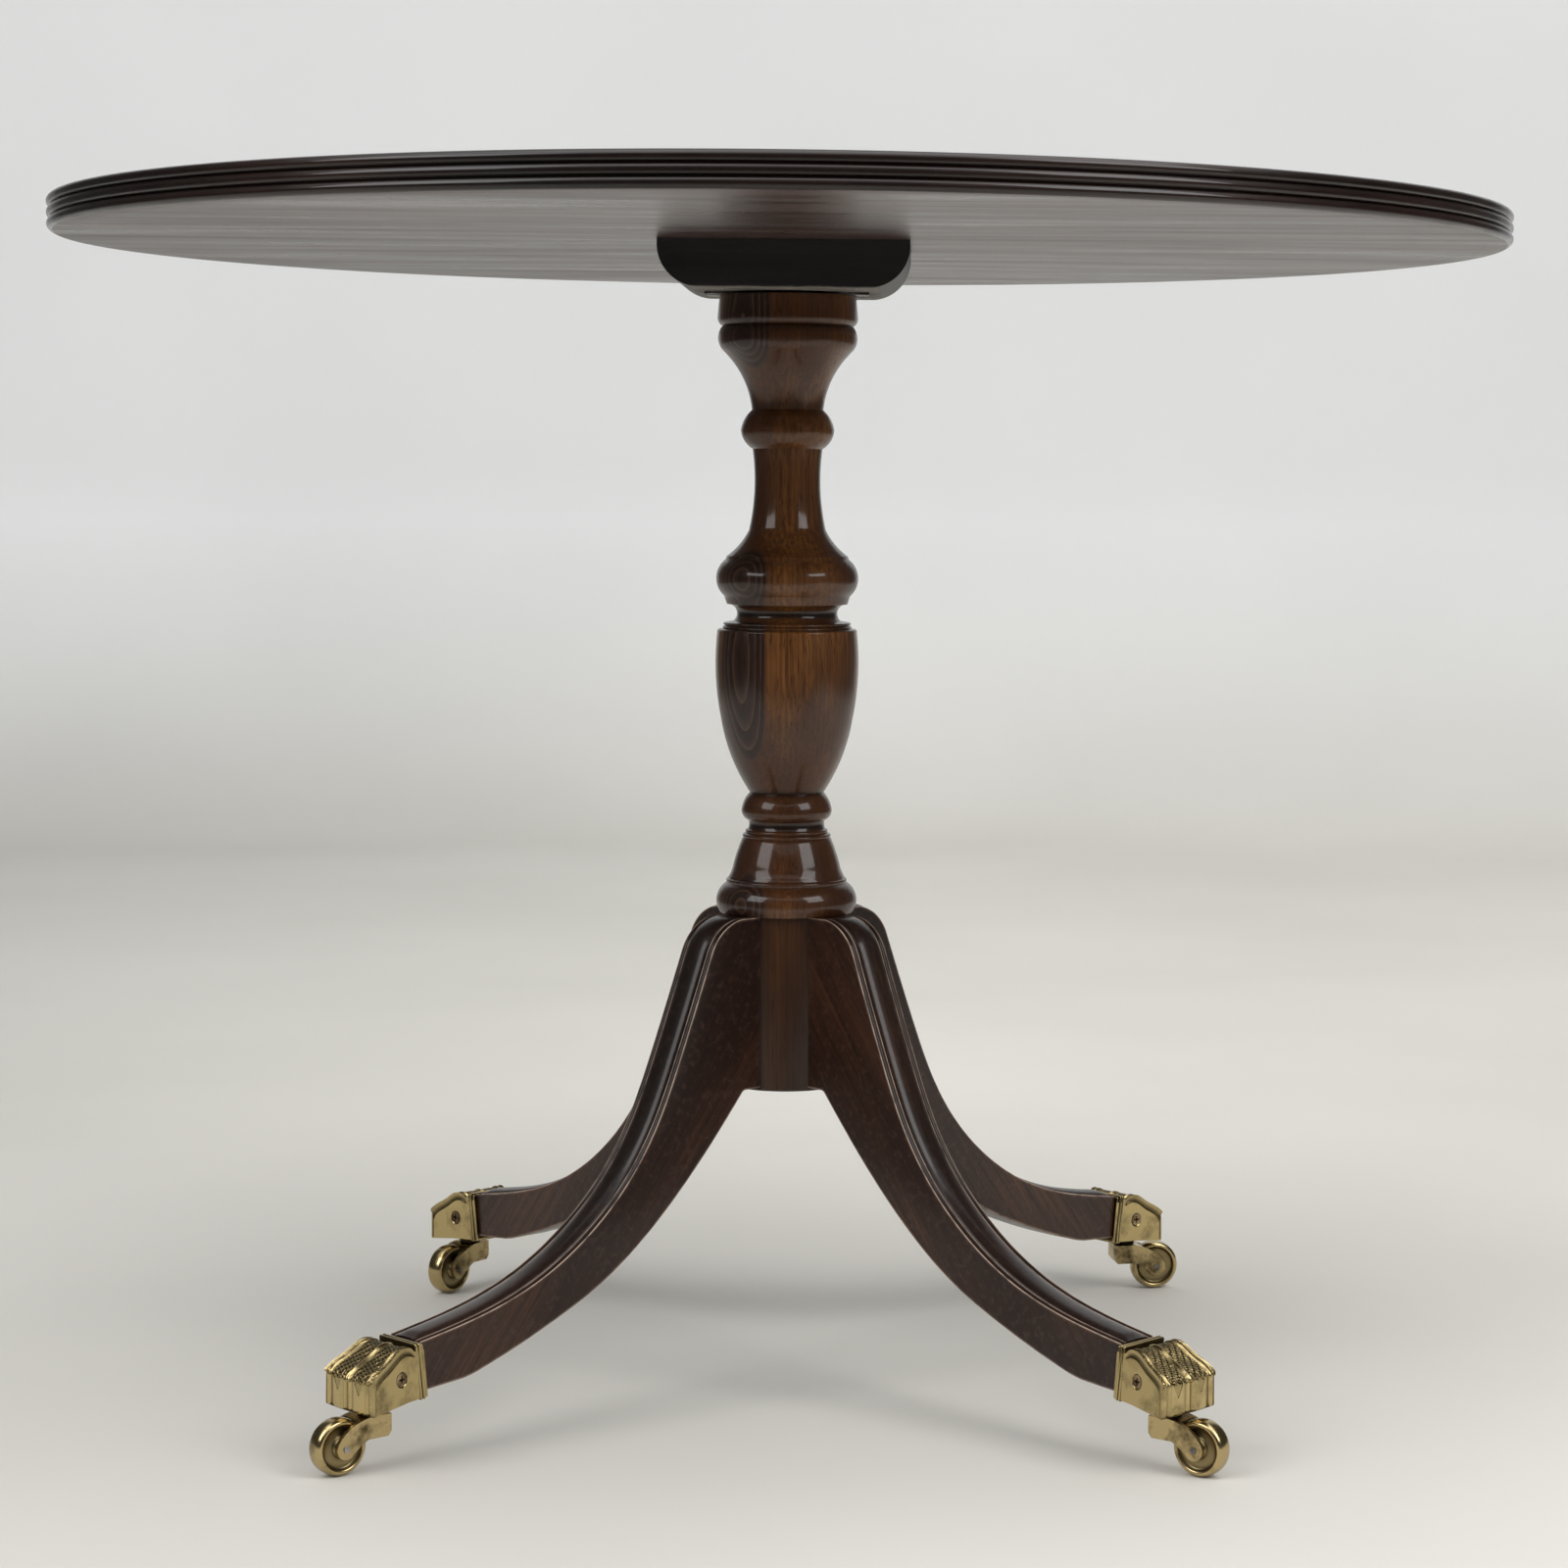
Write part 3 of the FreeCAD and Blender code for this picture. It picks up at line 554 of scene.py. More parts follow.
COLUMN_STEPS_MM = [
    (15, 726.5), (15, 696.5), (43.1, 696.5), (43.6, 696.0),
    (44.8, 683.0), (44.6, 680.4, 41.8, 677.0),               # cap
    (44.5, 669.2, 40.0, 660.2), (36.6, 656.4),               # torus under it
    (28.2, 643.4, 22.9, 624.0),                              # neck
    (27.9, 617.6, 29.9, 611.0), (28.2, 605.3, 22.4, 599.2),  # bulb
    (21.05, 577.0, 24.6, 547.6),                             # slender shaft
    (29.6, 539.6, 38.8, 530.8), (39.6, 528.7),               # bell
    (45.6, 516.8, 40.3, 505.2), (38.8, 500.2),               # torus
    (32.2, 493.2, 34.4, 489.4), (40.0, 488.4),               # cove
    (40.9, 487.8, 40.6, 486.9), (40.0, 486.6), (40.0, 486.2),
    (41.3, 485.6, 41.4, 484.5), (43.6, 484.2),               # fine bead on the vase's shoulder
    (44.5, 483.7, 44.9, 482.2),                              # eased rim of the vase
    (45.9, 468.0, 42.3, 426.5), (35.3, 401.0, 23.8, 379.0),  # vase
    (27.3, 374.0, 29.1, 367.4), (28.5, 364.6, 25.4, 361.4),  # ring
    (24.6, 361.0), (24.2, 357.8, 25.0, 355.4),               # cove
    (26.5, 354.4, 26.2, 352.8), (27.4, 352.4), (28.4, 351.4, 27.9, 350.0),  # two fine beads
    (28.5, 349.4), (32.9, 337.4, 34.3, 332.3), (35.7, 327.6, 37.3, 324.4),  # spreading foot
    (37.4, 323.6), (38.6, 323.0, 38.8, 321.6), (38.6, 320.8),               # fine bead
    (45.3, 309.2, 43.4, 302.0), (39.0, 302.0),               # base torus
    (39.0, 191.0), (38.0, 190.0), (0.01, 190.0)]             # core
column_line = outline_points((0.01, 726.5), COLUMN_STEPS_MM, 1.6) / 1000


def turning_hollows(line, reach=0.007, full=0.0035):
    """How deep each point of a turned outline lies between its neighbours, 0 to 1.

    The depth is below the lesser of the greatest radii above and below within reach, over full.
    """
    near = np.abs(line[:, None, 1] - line[None, :, 1]) < reach
    nearby_radius = np.where(near, line[None, :, 0], 0)
    deepest = np.minimum(np.where(line[None, :, 1] >= line[:, None, 1], nearby_radius, 0).max(1),
                         np.where(line[None, :, 1] <= line[:, None, 1], nearby_radius, 0).max(1))
    return np.clip((deepest - line[:, 0]) / full, 0, 1)


def shell_faces(steps, around):
    """Faces of a closed shell: quads along the rows and a cap on the first and the last."""
    first, last = list(range(around)), list(range((steps - 1) * around, steps * around))
    return row_quads(steps, around) + [first, last]


COLUMN_AROUND = 160
column_rows = turned_rows(column_line, COLUMN_AROUND)
column = new_piece("column_turned", column_rows, shell_faces(*column_rows.shape[:2]), sharp=32,
                   hollow=np.repeat(turning_hollows(column_line), COLUMN_AROUND))
turned_wood, tree, shader = new_material("polished_turning", Coat_Weight=0.6, Coat_Roughness=0.10,
                                         Specular_IOR_Level=0.12)
PITH_FROM_AXIS = (0.0375, 0.0465, 0)
COLUMN_RING_GAP, COLUMN_HEART = 0.0034, 0.0266
VASE_MIDDLE, VASE_RIM, CORE_TOP = 0.425, 0.4838, 0.302
figure = board_figure(tree, object_place(tree, move=PITH_FROM_AXIS), COLUMN_RING_GAP, COLUMN_HEART)
height = node(tree, "SeparateXYZ", {0: object_place(tree)}).outputs[2]
# Painted light: the vase lightens from its middle up to its rim.
rim_light = between(tree, height, VASE_MIDDLE, VASE_RIM, 0.0, 0.5)
painted_vase_light = sums(tree, "MULTIPLY", rim_light, sums(tree, "LESS_THAN", height, VASE_RIM))
sapwood = tones(tree, sums(tree, "ADD", figure["Cloud"], painted_vase_light), (0.0, (0.036, 0.0135, 0.0054)),
                (0.45, (0.070, 0.0255, 0.0082)), (1.0, (0.19, 0.075, 0.020)))
sap_streaked = blended(tree, sums(tree, "MULTIPLY", figure["Streak"], 0.62), sapwood, (0.040, 0.0150, 0.0062))
sap_ringed = blended(tree, sums(tree, "MULTIPLY", figure["Ring"], 0.4), sap_streaked, (0.030, 0.0110, 0.0050))
heartwood = blended(tree, sums(tree, "MULTIPLY", figure["Streak"], 0.5), (0.022, 0.0095, 0.0066),
                    (0.008, 0.0045, 0.0038))
heart_ringed = blended(tree, sums(tree, "MULTIPLY", figure["Ring"], 0.7), heartwood, (0.105, 0.056, 0.036))
whole = blended(tree, sums(tree, "MULTIPLY", figure["Heart"], 0.95), sap_ringed, heart_ringed)
pored = blended(tree, sums(tree, "MULTIPLY", figure["Pore"], 0.55), whole, (0.008, 0.004, 0.0025))
hollow = node(tree, "Attribute", attribute_name="hollow").outputs["Fac"]
# Painted shade: the core between the legs' roots is darkened.
core_shade = sums(tree, "MULTIPLY", sums(tree, "LESS_THAN", height, CORE_TOP), 0.62)
core_shaded = blended(tree, core_shade, pored, (0.016, 0.0055, 0.0022))
# Painted shade: the turning's hollows are darkened.
darkened_with_shade = blended(tree, sums(tree, "MULTIPLY", hollow, 0.85), core_shaded, (0.006, 0.0035, 0.0025))
grain_height = sums(tree, "SUBTRACT", sums(tree, "MULTIPLY", figure["Streak"], 0.4), figure["Pore"])
wired(tree, shader, Base_Color=darkened_with_shade,
      Roughness=between(tree, figure["Cloud"], 0, 1, 0.42, 0.32),
      Normal=bumped(tree, grain_height, 0.00003))
column.data.materials.append(turned_wood)
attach(column, "table")
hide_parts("column")


# ---------------------------------------------------------------- legs
# Four sabre legs sawn from mahogany board.  Their sides are flat and their upper edges are
# worked with a broad bead between quirks, fillets and hollows; the arrises are rubbed pale and
# carry a painted highlight.
def smooth_through(points, count):
    """Points on the natural cubic spline through the given ones, spaced evenly by chord length.

    The second derivatives m solve h0 m0 + 2 (h0 + h1) m1 + h1 m2 = 6 (slope1 - slope0).
    """
    points = np.asarray(points, float)
    knots = np.concatenate([[0], np.cumsum(np.linalg.norm(np.diff(points, axis=0), axis=1))])
    gap = np.diff(knots)
    slope = np.diff(points, axis=0) / gap[:, None]
    system, load = np.eye(len(knots)), np.zeros_like(points)
    inner = np.arange(1, len(knots) - 1)
    system[inner, inner - 1], system[inner, inner + 1] = gap[:-1], gap[1:]
    system[inner, inner] = 2 * (gap[:-1] + gap[1:])
    load[inner] = 6 * np.diff(slope, axis=0)
    bend = np.linalg.solve(system, load)
    at = np.linspace(0, knots[-1], count)
    k = np.clip(np.searchsorted(knots, at, side="right") - 1, 0, len(gap) - 1)
    b = ((at - knots[k]) / gap[k])[:, None]
    a = 1 - b
    curved = ((a ** 3 - a) * bend[k] + (b ** 3 - b) * bend[k + 1]) * (gap[k] ** 2)[:, None] / 6
    return a * points[k] + b * points[k + 1] + curved


def evenly(points, count):
    """The path through points, cut into equal lengths."""
    run = np.concatenate([[0], np.cumsum(np.linalg.norm(np.diff(points, axis=0), axis=1))])
    at = np.linspace(0, run[-1], count)
    return np.stack([np.interp(at, run, points[:, k]) for k in range(points.shape[1])], -1)


def path_normals(path, side):
    """Unit normals of a path in the plane, to its left for side 1 and its right for side -1."""
    along = np.gradient(path, axis=0)
    along /= np.linalg.norm(along, axis=1)[:, None]
    return side * np.stack([-along[:, 1], along[:, 0]], -1)


def eased(value, low, high):
    """0 below low, 1 above high, and 3t^2 - 2t^3 between."""
    t = np.clip((value - low) / (high - low), 0, 1)
    return t * t * (3 - 2 * t)


def stood_round(points, angle):
    """Points in a leg's own frame, x out along the leg and y across it, turned by angle about Z."""
    cos, sin = math.cos(angle), math.sin(angle)
    x, y, z = points[..., 0], points[..., 1], points[..., 2]
    return np.stack([cos * x - sin * y, sin * x + cos * y, z], -1)


CORNERS = ("front_left", "front_right", "back_left", "back_right")


def centre_of(cad_node):
    """The middle of a CAD node's box."""
    low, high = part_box(cad_node)
    return (low + high) / 2


LEG_ANGLE = {}
for corner in CORNERS:
    pin = centre_of("swivel_pin_" + corner)
    LEG_ANGLE[corner] = math.atan2(pin.y, pin.x)

JOINT_MM = 304.0
JOINT_HEIGHT_MM = 56.7
JOINT_SLOPE = 0.11


def on_joint(height):
    """The point of the leaning joint between leg and socket at a height, in mm."""
    return JOINT_MM + JOINT_SLOPE * (height - JOINT_HEIGHT_MM), height


LEG_STEPS = 150
UPPER_EDGE_MM = np.concatenate([
    outline_points((36.2, 301.8), [(52.0, 301.8), (66.5, 295.8, 77.5, 281.0)], 2.0)[:-1],
    smooth_through([(77.5, 281.0), (89.0, 252.6), (104.0, 217.0), (122.0, 179.5), (146.0, 146.0),
                    (178.0, 117.5), (214.0, 96.6), (258.0, 82.0), on_joint(73.2)], 120)])
LOWER_EDGE_MM = np.concatenate([
    [[36.2, 192.0]],
    smooth_through([(50.0, 192.0), (78.0, 160.6), (110.0, 128.8), (142.0, 102.6), (172.0, 83.8),
                    (204.0, 69.4), (236.0, 57.2), (266.0, 47.4)], 100),
    [[274.0, 45.8], on_joint(43.6)]])
quarter = np.linspace(math.pi / 2, 0, 12)
# Half the section from the crown to the middle of the underside: distance from the middle,
# share of the way down, height above the edge there, rubbed arris with a painted highlight,
# darkening (painted shade in quirks and hollows, a darker colour over the bead and fillets).
LEG_SECTION_MM = np.concatenate([
    np.stack([9.1 * np.cos(quarter), 0 * quarter, 2.9 * np.sin(quarter) - 0.5,
              0 * quarter, 0.62 + 0 * quarter], -1),
    [[9.35, 0, -0.95, 0, 1], [9.65, 0, -0.1, 0.2, 0.6], [9.85, 0, 0.15, 1, 0], [10.15, 0, 0.15, 1, 0],
     [10.4, 0, 0.0, 0.1, 0.6], [11.2, 0, -0.8, 0, 0.9], [12.2, 0, -1.05, 0, 0.9], [13.1, 0, -0.8, 0, 0.8],
     [13.7, 0, -0.25, 0.1, 0.6], [14.0, 0, 0.0, 0.9, 0], [14.3, 0, -0.08, 1, 0], [14.5, 0, -0.35, 0.9, 0],
     [14.5, 0, -0.75, 0.1, 0], [14.5, 0, -2.0, 0, 0], [14.5, 0.1, 0, 0, 0], [14.5, 0.3, 0, 0, 0],
     [14.5, 0.5, 0, 0, 0], [14.5, 0.7, 0, 0, 0], [14.5, 0.9, 0, 0, 0], [14.5, 1, -1.5, 0, 0],
     [14.5, 1, -0.4, 0.5, 0], [14.3, 1, -0.1, 0.6, 0], [13.9, 1, 0, 0.3, 0], [7.0, 1, 0, 0, 0],
     [0.0, 1, 0, 0, 0]]])


def leg_skin():
    """Rows of points round the leg in its own frame, metres, with the marks of one row.

    A point is (1 - f) U + f L + n ((1 - f) Nu + f Nl): U and L step evenly along the upper and
    lower edges, Nu and Nl point out of them, and (w, f, n) go round the section.
    """
    upper, lower = evenly(UPPER_EDGE_MM, LEG_STEPS), evenly(LOWER_EDGE_MM, LEG_STEPS)
    out_of_upper, out_of_lower = path_normals(upper, 1), path_normals(lower, -1)
    half = LEG_SECTION_MM
    section = np.concatenate([half, half[-2:0:-1] * np.array([-1, 1, 1, 1, 1])])
    width, share, lift, wear, hollow = section.T
    from_shoulder, to_foot = upper[:, :1], upper[-1, 0] - upper[:, :1]
    standing = eased(from_shoulder, 46, 62) * (0.3 + 0.7 * eased(to_foot, 0, 7))
    lift = np.where(lift > 0, lift * standing, lift)[..., None]
    share = share[None, :, None]
    flat = (1 - share) * (upper[:, None] + lift * out_of_upper[:, None])
    flat = flat + share * (lower[:, None] + lift * out_of_lower[:, None])
    across = np.broadcast_to(width, flat.shape[:2])
    points = np.stack([flat[..., 0], across, flat[..., 1]], -1) / 1000
    return points, np.broadcast_to(wear, across.shape), np.broadcast_to(hollow, across.shape)


GRAIN_SLOPE = math.radians(52)
leg_wood, tree, shader = new_material("polished_leg", Coat_Weight=0.45, Coat_Roughness=0.17,
                                      Specular_IOR_Level=0.15)
board = node(tree, "Attribute", attribute_name="board").outputs["Vector"]
figure = board_figure(tree, board, 0.0062)
patches = tones(tree, figure["Cloud"], (0.0, (0.013, 0.0058, 0.0042)), (0.5, (0.028, 0.0115, 0.0070)),
                (1.0, (0.072, 0.0300, 0.0155)))
streaked = blended(tree, sums(tree, "MULTIPLY", figure["Streak"], 0.6), patches, (0.014, 0.0060, 0.0044))
ringed = blended(tree, sums(tree, "MULTIPLY", figure["Ring"], 0.55), streaked, (0.012, 0.0055, 0.0040))
fleck = between(tree, noise(tree, board, 260, 3.0), 0.52, 0.7, 0.0, 0.55)
flecked = blended(tree, fleck, ringed, (0.058, 0.032, 0.022))
pored = blended(tree, sums(tree, "MULTIPLY", figure["Pore"], 0.5), flecked, (0.008, 0.004, 0.003))
hollow = node(tree, "Attribute", attribute_name="hollow").outputs["Fac"]
wear = node(tree, "Attribute", attribute_name="wear").outputs["Fac"]
# The arrises are paled: rubbed wear, with a painted highlight along them.
rubbed_and_glinting = sums(tree, "MULTIPLY", wear, between(tree, noise(tree, board, 95, 4.0), 0.30, 0.55, 0.25, 1.0))
# Painted shade in the quirks and hollows; a darker colour over the bead and its fillets.
darkened_with_shade = blended(tree, sums(tree, "MULTIPLY", hollow, 0.8), pored, (0.005, 0.003, 0.0022))
grain_height = sums(tree, "SUBTRACT", sums(tree, "MULTIPLY", figure["Streak"], 0.4), figure["Pore"])
wired(tree, shader, Base_Color=blended(tree, rubbed_and_glinting, darkened_with_shade, (0.42, 0.30, 0.23)),
      Roughness=between(tree, figure["Cloud"], 0, 1, 0.46, 0.36),
      Normal=bumped(tree, grain_height, 0.00003))
leg_points, leg_wear_and_glint, leg_hollow = leg_skin()
x, y, z = leg_points[..., 0], leg_points[..., 1], leg_points[..., 2]
for turn, corner in enumerate(CORNERS):
    board_place = np.stack([y + 0.045 + 0.021 * turn,
                            x * math.sin(GRAIN_SLOPE) + z * math.cos(GRAIN_SLOPE) + 0.08 * turn - 0.3,
                            x * math.cos(GRAIN_SLOPE) - z * math.sin(GRAIN_SLOPE) + 0.7 * turn], -1)
    leg = new_piece("leg_moulded_" + corner, stood_round(leg_points, LEG_ANGLE[corner]),
                    shell_faces(*leg_points.shape[:2]), sharp=38,
                    board=board_place, wear=leg_wear_and_glint.ravel(), hollow=leg_hollow.ravel())
    leg.data.materials.append(leg_wood)
    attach(leg, "table")
    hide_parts("leg_" + corner)


# ---------------------------------------------------------------- sockets
# Cast brass caps shaped as lion's paws, each driven on the leg's tenon and held by a screw in
# either flank: a reeded collar, a chased furry back with smooth tendons, and upright toes.
SOCKET_NOSE_MM = 348.0
BACK_HALF_MM = 16.4
NOSE_HALF_MM = 23.3
NOSE_BOW_MM = 1.5
NOSE_BOW_FROM_MM = 322.0
PAW_STEPS = 180
PAW_ACROSS = 149
FLANK_STEPS = 44
PAW_LINE_MM = np.concatenate([
    smooth_through([on_joint(69.0), (309.0, 68.6), (312.5, 69.1), (316.0, 70.8), (320.0, 71.9), (325.0, 70.9),
                    (330.0, 67.9), (335.0, 64.9), (339.8, 62.6), (343.4, 60.6), (346.2, 58.3),
                    (347.6, 55.8), (347.9, 53.0)], 130),
    [[347.9, 37.8], [347.5, 37.0]]])
SOLE_LINE_MM = outline_points(on_joint(40.4), [(318.0, 39.8), (347.3, 36.7)], 1.0)
TOE_EDGES = np.array([-1, -0.78, -0.09, 0.09, 0.78, 1])
TENDONS = np.array([-1, -0.78, 0, 0.78, 1])
TENDON_WIDTHS = np.array([0.05, 0.055, 0.09, 0.055, 0.05])
CLAW_TIP_MM = 46.5
FRINGE_HEIGHT_MM = 57.0
FUR_FROM_MM, FUR_FULL_MM = 313.0, 316.5
SCREW_AT_MM = (323.5, 54.5)
SWIVEL_MM = 332.5
COUNTERSINK_MM = 4.6
SINK_DEPTH_MM = 1.3


def half_width(x):
    """The flanks splay evenly from the collar to the nose."""
    share = (x - JOINT_MM + 2) / (SOCKET_NOSE_MM - NOSE_BOW_MM - JOINT_MM + 2)
    return BACK_HALF_MM + (NOSE_HALF_MM - BACK_HALF_MM) * share


def zigzag(value):
    """A triangle wave from 0 to 1 and back over each whole number."""
    return 1 - np.abs(2 * (value % 1) - 1)


def paw_relief(run, x, z, v):
    """Height of the chasing in mm over the plain paw, and how dark its hollows lie.

    Toes: -1.5 |u|^5 - 0.4 u^2, u from -1 to 1 across each toe, with a facet line near each
    side and a faint V-shaped claw in the two broad toes; the slit between those two lies at
    -0.9 - u^2.  Back: smooth tendons 1.5 exp(-((v - place) / width)^2), and between them
    strokes cut as 1 - |sin| of a slanted phase.  They meet in a ragged fringe over the toes.
    """
    toe = np.clip(np.searchsorted(TOE_EDGES, v, side="right") - 1, 0, len(TOE_EDGES) - 2)
    left, right = TOE_EDGES[toe], TOE_EDGES[toe + 1]
    u = 2 * (v - left) / (right - left) - 1
    facet = np.exp(-((np.abs(u) - 0.66) / 0.05) ** 2)
    is_broad = (toe == 1) | (toe == 3)
    claw_half = 0.5 * np.clip((z - CLAW_TIP_MM) / 8, 0, 1)
    claw = is_broad * eased(claw_half - np.abs(u), 0, 0.09) * eased(z, CLAW_TIP_MM, CLAW_TIP_MM + 2)
    toes = -1.5 * np.abs(u) ** 5 - 0.4 * u * u - 0.2 * facet - 0.3 * claw
    toes = np.where(toe == 2, -0.9 - u * u, toes)
    tendon = np.exp(-((v[..., None] - TENDONS) / TENDON_WIDTHS) ** 2).max(-1)
    slant = np.where(toe % 2 == 0, 1, -1)
    across = v * half_width(x)
    phase = 0.30 * run + slant * 0.42 * across + 0.35 * np.sin(0.8 * run + 1.3 * across)
    cut = np.abs(np.sin(np.pi * phase)) ** 0.7
    second = np.abs(np.sin(np.pi * (0.62 * run - slant * 0.25 * across)))
    fur = 0.10 - 0.55 * cut - 0.25 * second + 0.35 * (1 - u * u)
    furred = eased(x, FUR_FROM_MM, FUR_FULL_MM)
    back = np.maximum(fur, 1.5 * tendon - 0.6) * furred
    fringe = FRINGE_HEIGHT_MM - 1.9 * zigzag(v * 4.5 + 0.2) - 0.9 * zigzag(v * 11)
    on_back = eased(z, fringe - 0.25, fringe + 0.25)
    tuft = 0.75 * on_back * (1 - eased(z, fringe + 0.8, fringe + 4.0))
    relief = (1 - on_back) * toes + on_back * back + tuft
    between_tendons = 1 - np.clip(tendon * 1.4, 0, 1)
    dark_back = furred * between_tendons * np.clip(1.3 * cut - 0.05, 0, 1)
    dark_toes = np.clip(0.7 * np.abs(u) ** 9 + 0.3 * facet + 0.3 * claw, 0, 1)
    return relief, np.clip(on_back * dark_back + (1 - on_back) * dark_toes, 0, 1)


def paw_skin():
    """Rows of points round the paw in the leg's frame, metres, with the hollow mark of each.

    Each row crosses the line over the back and down the toes at v from -1 to 1, then runs
    down one flank to the sole's line, across the sole, and up the other flank.  Under its
    upper edge a flank has a hollow 0.7 exp(-((depth - 2.4) / 1.3)^2) deep.
    """
    line, sole = evenly(PAW_LINE_MM, PAW_STEPS), evenly(SOLE_LINE_MM, PAW_STEPS)
    normal = path_normals(line, 1)
    run = np.linspace(0, np.linalg.norm(np.diff(PAW_LINE_MM, axis=0), axis=1).sum(), PAW_STEPS)[:, None]
    v = np.linspace(-1, 1, PAW_ACROSS)[None]
    x, z = line[:, :1] + 0 * v, line[:, 1:] + 0 * v
    relief, hollow = paw_relief(run + 0 * v, x, z, v + 0 * x)
    bow = NOSE_BOW_MM * v ** 2 * eased(x, NOSE_BOW_FROM_MM, SOCKET_NOSE_MM)
    lifted_x = x + relief * normal[:, :1] - bow
    back = np.stack([lifted_x, v * half_width(x), z + relief * normal[:, 1:]], -1)

    share = np.linspace(0, 1, FLANK_STEPS)[None, 1:]
    flank_x = line[:, :1] * (1 - share) + sole[:, :1] * share
    flank_z = line[:, 1:] * (1 - share) + sole[:, 1:] * share
    below_edge = line[:, 1:] - flank_z
    lip = 0.7 * np.exp(-((below_edge - 2.4) / 1.3) ** 2)
    lip = lip * eased(line[:, 1:], 52, 58) * eased(flank_x, 311, 316)
    from_screw = np.hypot(flank_x - SCREW_AT_MM[0], flank_z - SCREW_AT_MM[1])
    sunk = SINK_DEPTH_MM * (1 - eased(from_screw, COUNTERSINK_MM - 0.8, COUNTERSINK_MM))
    flank_bow = NOSE_BOW_MM * eased(flank_x, NOSE_BOW_FROM_MM, SOCKET_NOSE_MM)
    flank = np.stack([flank_x - flank_bow, half_width(flank_x) - lip - sunk, flank_z], -1)
    flank_dark = np.clip(lip + sunk / SINK_DEPTH_MM, 0, 1)

    sole_v = np.linspace(1, -1, 13)[None, 1:-1]
    sole_bow = NOSE_BOW_MM * sole_v ** 2 * eased(sole[:, :1], NOSE_BOW_FROM_MM, SOCKET_NOSE_MM)
    under = np.stack([sole[:, :1] - sole_bow, sole_v * half_width(sole[:, :1]),
                      sole[:, 1:] + 0 * sole_v], -1)
    other = flank[:, ::-1] * np.array([1, -1, 1])
    points = np.concatenate([back, flank, under, other], 1) / 1000
    marks = np.concatenate([hollow, flank_dark, 0.5 + 0 * under[..., 0], flank_dark[:, ::-1]], 1)
    return points, marks


# Each reed of the collar: from, to, how far in it lies at the sides, how far above and below.
COLLAR_REEDS_MM = ((0.0, 2.0, 1.0, 1.0), (2.0, 4.3, 0.0, 0.0), (4.3, 6.6, 0.0, 0.0), (6.6, 9.0, 1.0, 4.6))
REED_ROWS = 13


def collar_skin():
    """Rows round the collar: a rounded rectangle, drawn in by the reeds' depth at each step.

    The depth is 1.1 (1 - sqrt(1 - (0.97 u)^2)) with u from -1 to 1 across each reed, and the
    whole leans with the joint.  Reeds are marked dark where they dip over 0.5 mm.
    """
    u = np.linspace(-1, 1, REED_ROWS)
    depth = np.tile(1.1 * (1 - np.sqrt(1 - (0.97 * u) ** 2)), len(COLLAR_REEDS_MM))
    reeds = np.repeat(np.asarray(COLLAR_REEDS_MM), REED_ROWS, 0)
    along = reeds[:, 0] + (reeds[:, 1] - reeds[:, 0]) * (1 + np.tile(u, len(COLLAR_REEDS_MM))) / 2
    corner = np.linspace(0, math.pi / 2, 6)
    bend = np.stack([np.cos(corner), np.sin(corner)], -1)
    bends = np.concatenate([bend, bend[::-1] * (-1, 1), bend * (-1, -1), bend[::-1] * (1, -1)])
    rounding = 1.3
    half_size = np.stack([18.0 - reeds[:, 2] - depth, 17.1 - reeds[:, 3] - depth], -1)
    ring = (half_size[:, None] - rounding) * np.sign(bends + 1e-9 * np.roll(bends, 1, 1)) + rounding * bends
    lean = math.atan(JOINT_SLOPE)
    x = JOINT_MM + along[:, None] * math.cos(lean) + ring[..., 1] * math.sin(lean)
    z = JOINT_HEIGHT_MM - along[:, None] * math.sin(lean) + ring[..., 1] * math.cos(lean)
    points = np.stack([x, ring[..., 0], z], -1) / 1000
    return points, np.broadcast_to(np.clip(depth / 0.5, 0, 1)[:, None], points.shape[:2])


def boss_skin():
    """Rows of a round boss under the sole, with a rounded lower edge, about the swivel's axis."""
    edge = np.linspace(0, math.pi / 2, 6)
    rim = np.stack([8.0 + 1.0 * np.sin(edge), 36.5 - 1.0 * np.cos(edge)], -1)
    outline = np.concatenate([[(3.05, 35.5)], rim, [(9.0, 40.0), (3.05, 40.0)]]) / 1000
    rows = turned_rows(outline, 48) + np.array([SWIVEL_MM / 1000, 0, 0])
    return rows, 0.3 + 0 * rows[..., 0]


def joined(*skins):
    """Points, faces and marks of several closed shells as one."""
    points, faces, marks, start = [], [], [], 0
    for skin, mark in skins:
        points.append(skin.reshape(-1, 3))
        marks.append(np.asarray(mark).reshape(-1))
        faces += [[start + index for index in face] for face in shell_faces(*skin.shape[:2])]
        start += skin.shape[0] * skin.shape[1]
    return np.concatenate(points), faces, np.concatenate(marks)


brass = metal("old_brass", (0.54, 0.42, 0.20), (0.040, 0.029, 0.013), 0.34, 0.13, hollow_mark=True)
socket_points, socket_faces, socket_hollow = joined(paw_skin(), collar_skin(), boss_skin())
for corner in CORNERS:
    socket = new_piece("paw_socket_" + corner, stood_round(socket_points, LEG_ANGLE[corner]), socket_faces,
                       sharp=48, hollow=socket_hollow)
    socket.data.materials.append(brass)
    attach(socket, "table")
    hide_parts("castor_socket_" + corner)

screw_brass = metal("worn_brass_screw", (0.50, 0.36, 0.20), (0.09, 0.06, 0.035), 0.6, 0.3)
dress(screw_brass, "socket_screws")


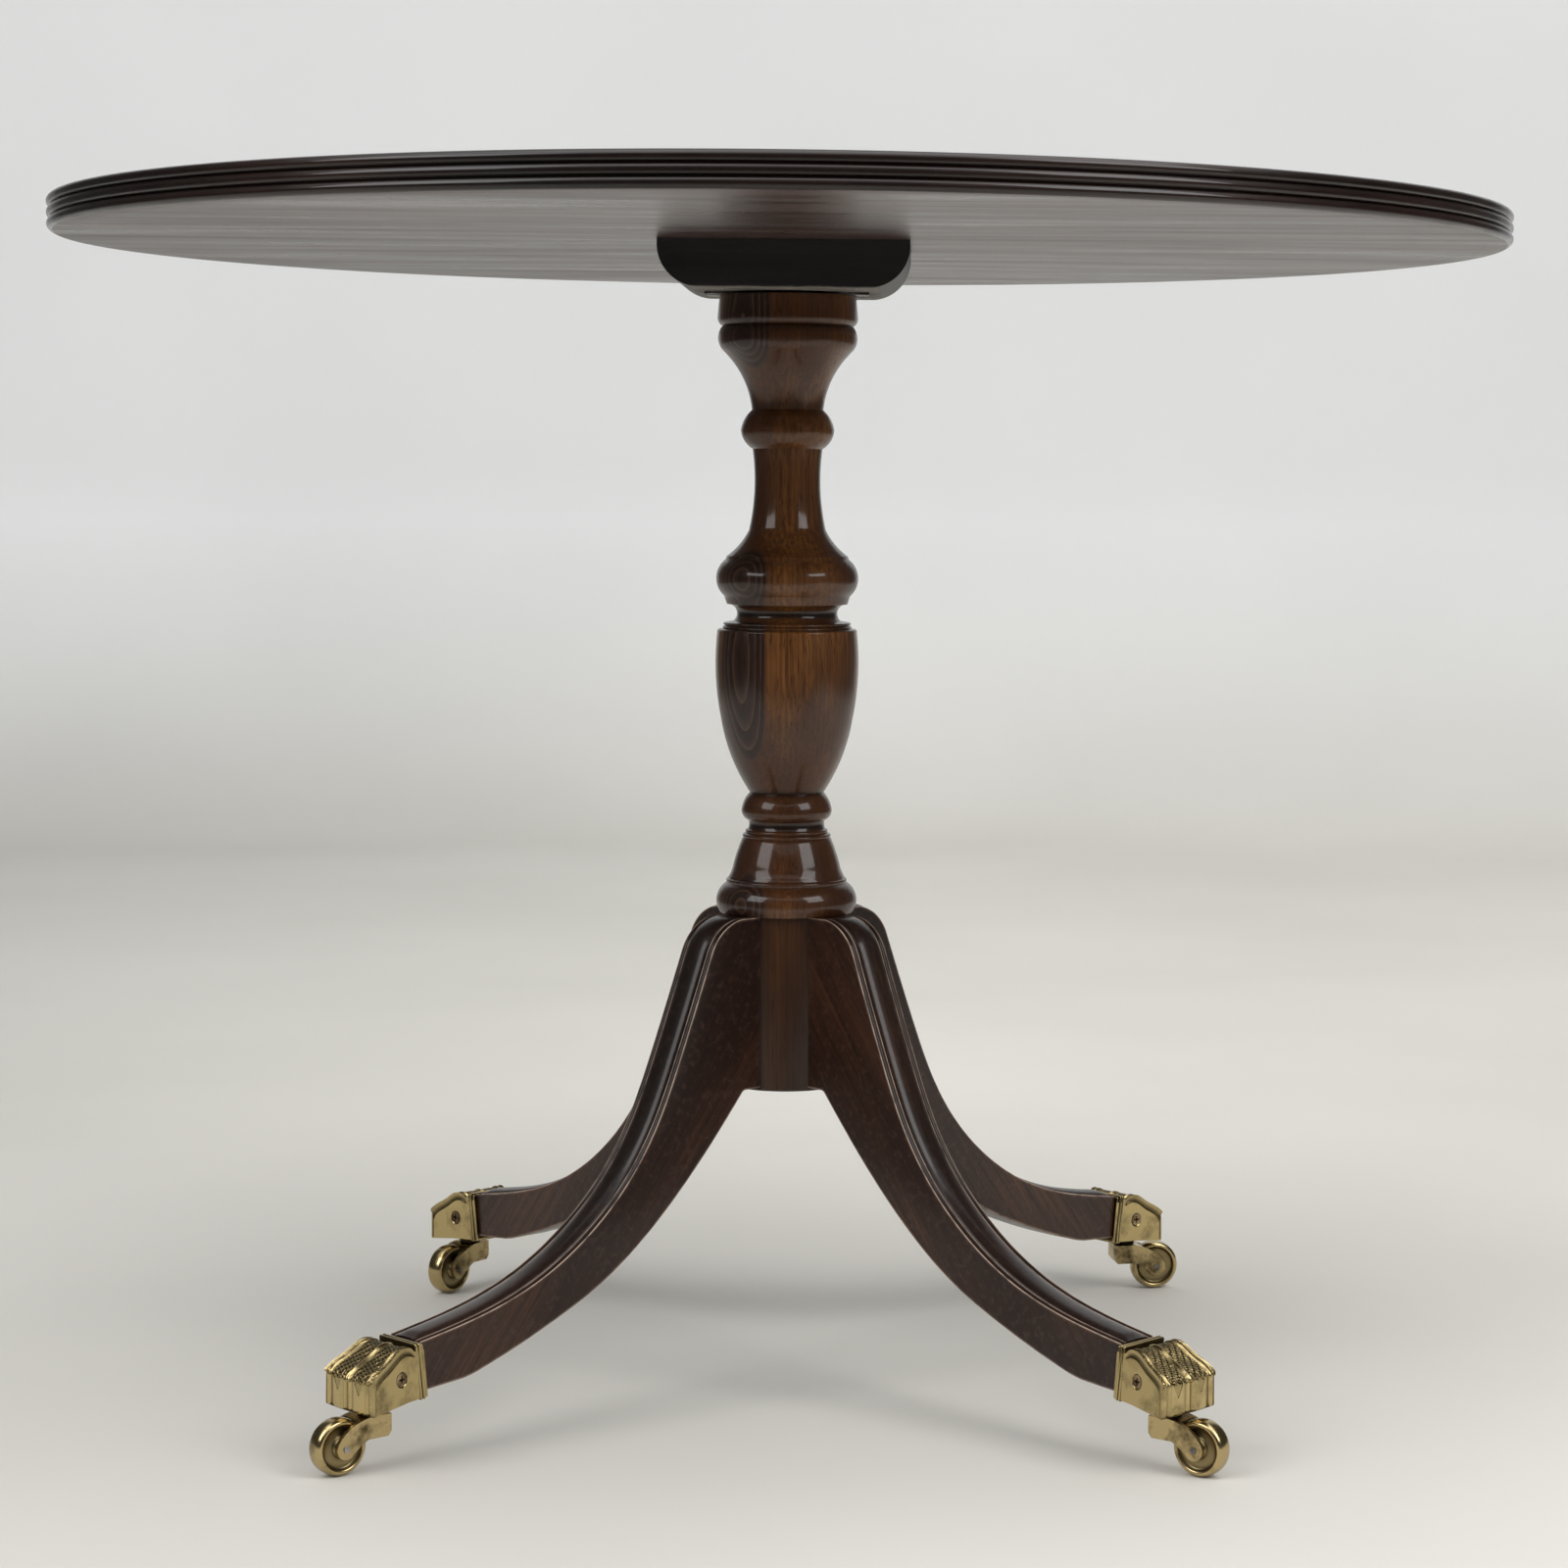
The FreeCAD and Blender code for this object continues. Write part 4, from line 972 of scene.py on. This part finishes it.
# ---------------------------------------------------------------- castors
# Each paw stands on a solid brass wheel that turns on a steel axle between the two curved
# arms of a brass horn, which swivels on a pin under the paw against a dark washer.
WHEEL_AROUND = 96
WHEEL_FACE_MM = [(1.95, 6.1), (2.5, 6.4), (4.8, 6.4), (5.5, 5.9), (6.2, 4.3), (7.2, 3.75), (9.5, 3.65),
                 (11.7, 3.7), (12.5, 4.1), (13.2, 5.35), (13.7, 5.85), (14.4, 6.0), (15.2, 5.85), (15.9, 5.3),
                 (16.5, 4.2), (16.85, 2.6), (17.0, 0.0)]
bright_brass = metal("rubbed_brass", (0.54, 0.42, 0.21), (0.050, 0.037, 0.017), 0.46, 0.14, hollow_mark=True)
satin_brass = metal("satin_brass", (0.52, 0.40, 0.20), (0.08, 0.058, 0.027), 0.32, 0.2)
axle_steel = metal("axle_steel", (0.45, 0.44, 0.42), (0.16, 0.14, 0.12), 0.4, 0.3)
washer_brass = metal("dark_washer", (0.10, 0.075, 0.04), (0.03, 0.024, 0.016), 0.5, 0.45)


def wheel_skin():
    """Rows round a wheel whose axle is Z: its face, its tread, its other face and its bore."""
    face = np.asarray(WHEEL_FACE_MM)
    other = face[-2::-1] * np.array([1, -1])
    section = np.concatenate([face, other, face[:1]]) / 1000
    dip = np.interp(section[:, 0] * 1000, [1.9, 5.4, 6.2, 7.5, 11.5, 13.2, 13.8, 17.0],
                    [0.8, 0.1, 0.9, 0.5, 0.5, 0.9, 0.0, 0.1])
    return turned_rows(section, WHEEL_AROUND), np.repeat(dip, WHEEL_AROUND)


for corner in CORNERS:
    pin, hub = centre_of("swivel_pin_" + corner), centre_of("castor_wheel_" + corner)
    heading = math.atan2(hub.y - pin.y, hub.x - pin.x)
    rows, dip = wheel_skin()
    lying = np.stack([rows[..., 0], rows[..., 2], rows[..., 1]], -1)
    wheel = new_piece("wheel_" + corner, stood_round(lying, heading) + np.array(hub),
                      row_quads(*rows.shape[:2]), sharp=50, hollow=dip)
    wheel.data.materials.append(bright_brass)
    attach(wheel, "wheel_" + corner)
    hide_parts("castor_wheel_" + corner)
    horn = softened_copy("horn_" + corner, "castor_horn_" + corner, 0.00045)
    horn.data.materials.append(satin_brass)
    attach(horn, "horn_" + corner)
    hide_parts("castor_horn_" + corner)
    dress(axle_steel, "castor_axle_" + corner)
    dress(washer_brass, "swivel_washer_" + corner)
    dress(satin_brass, "swivel_pin_" + corner)
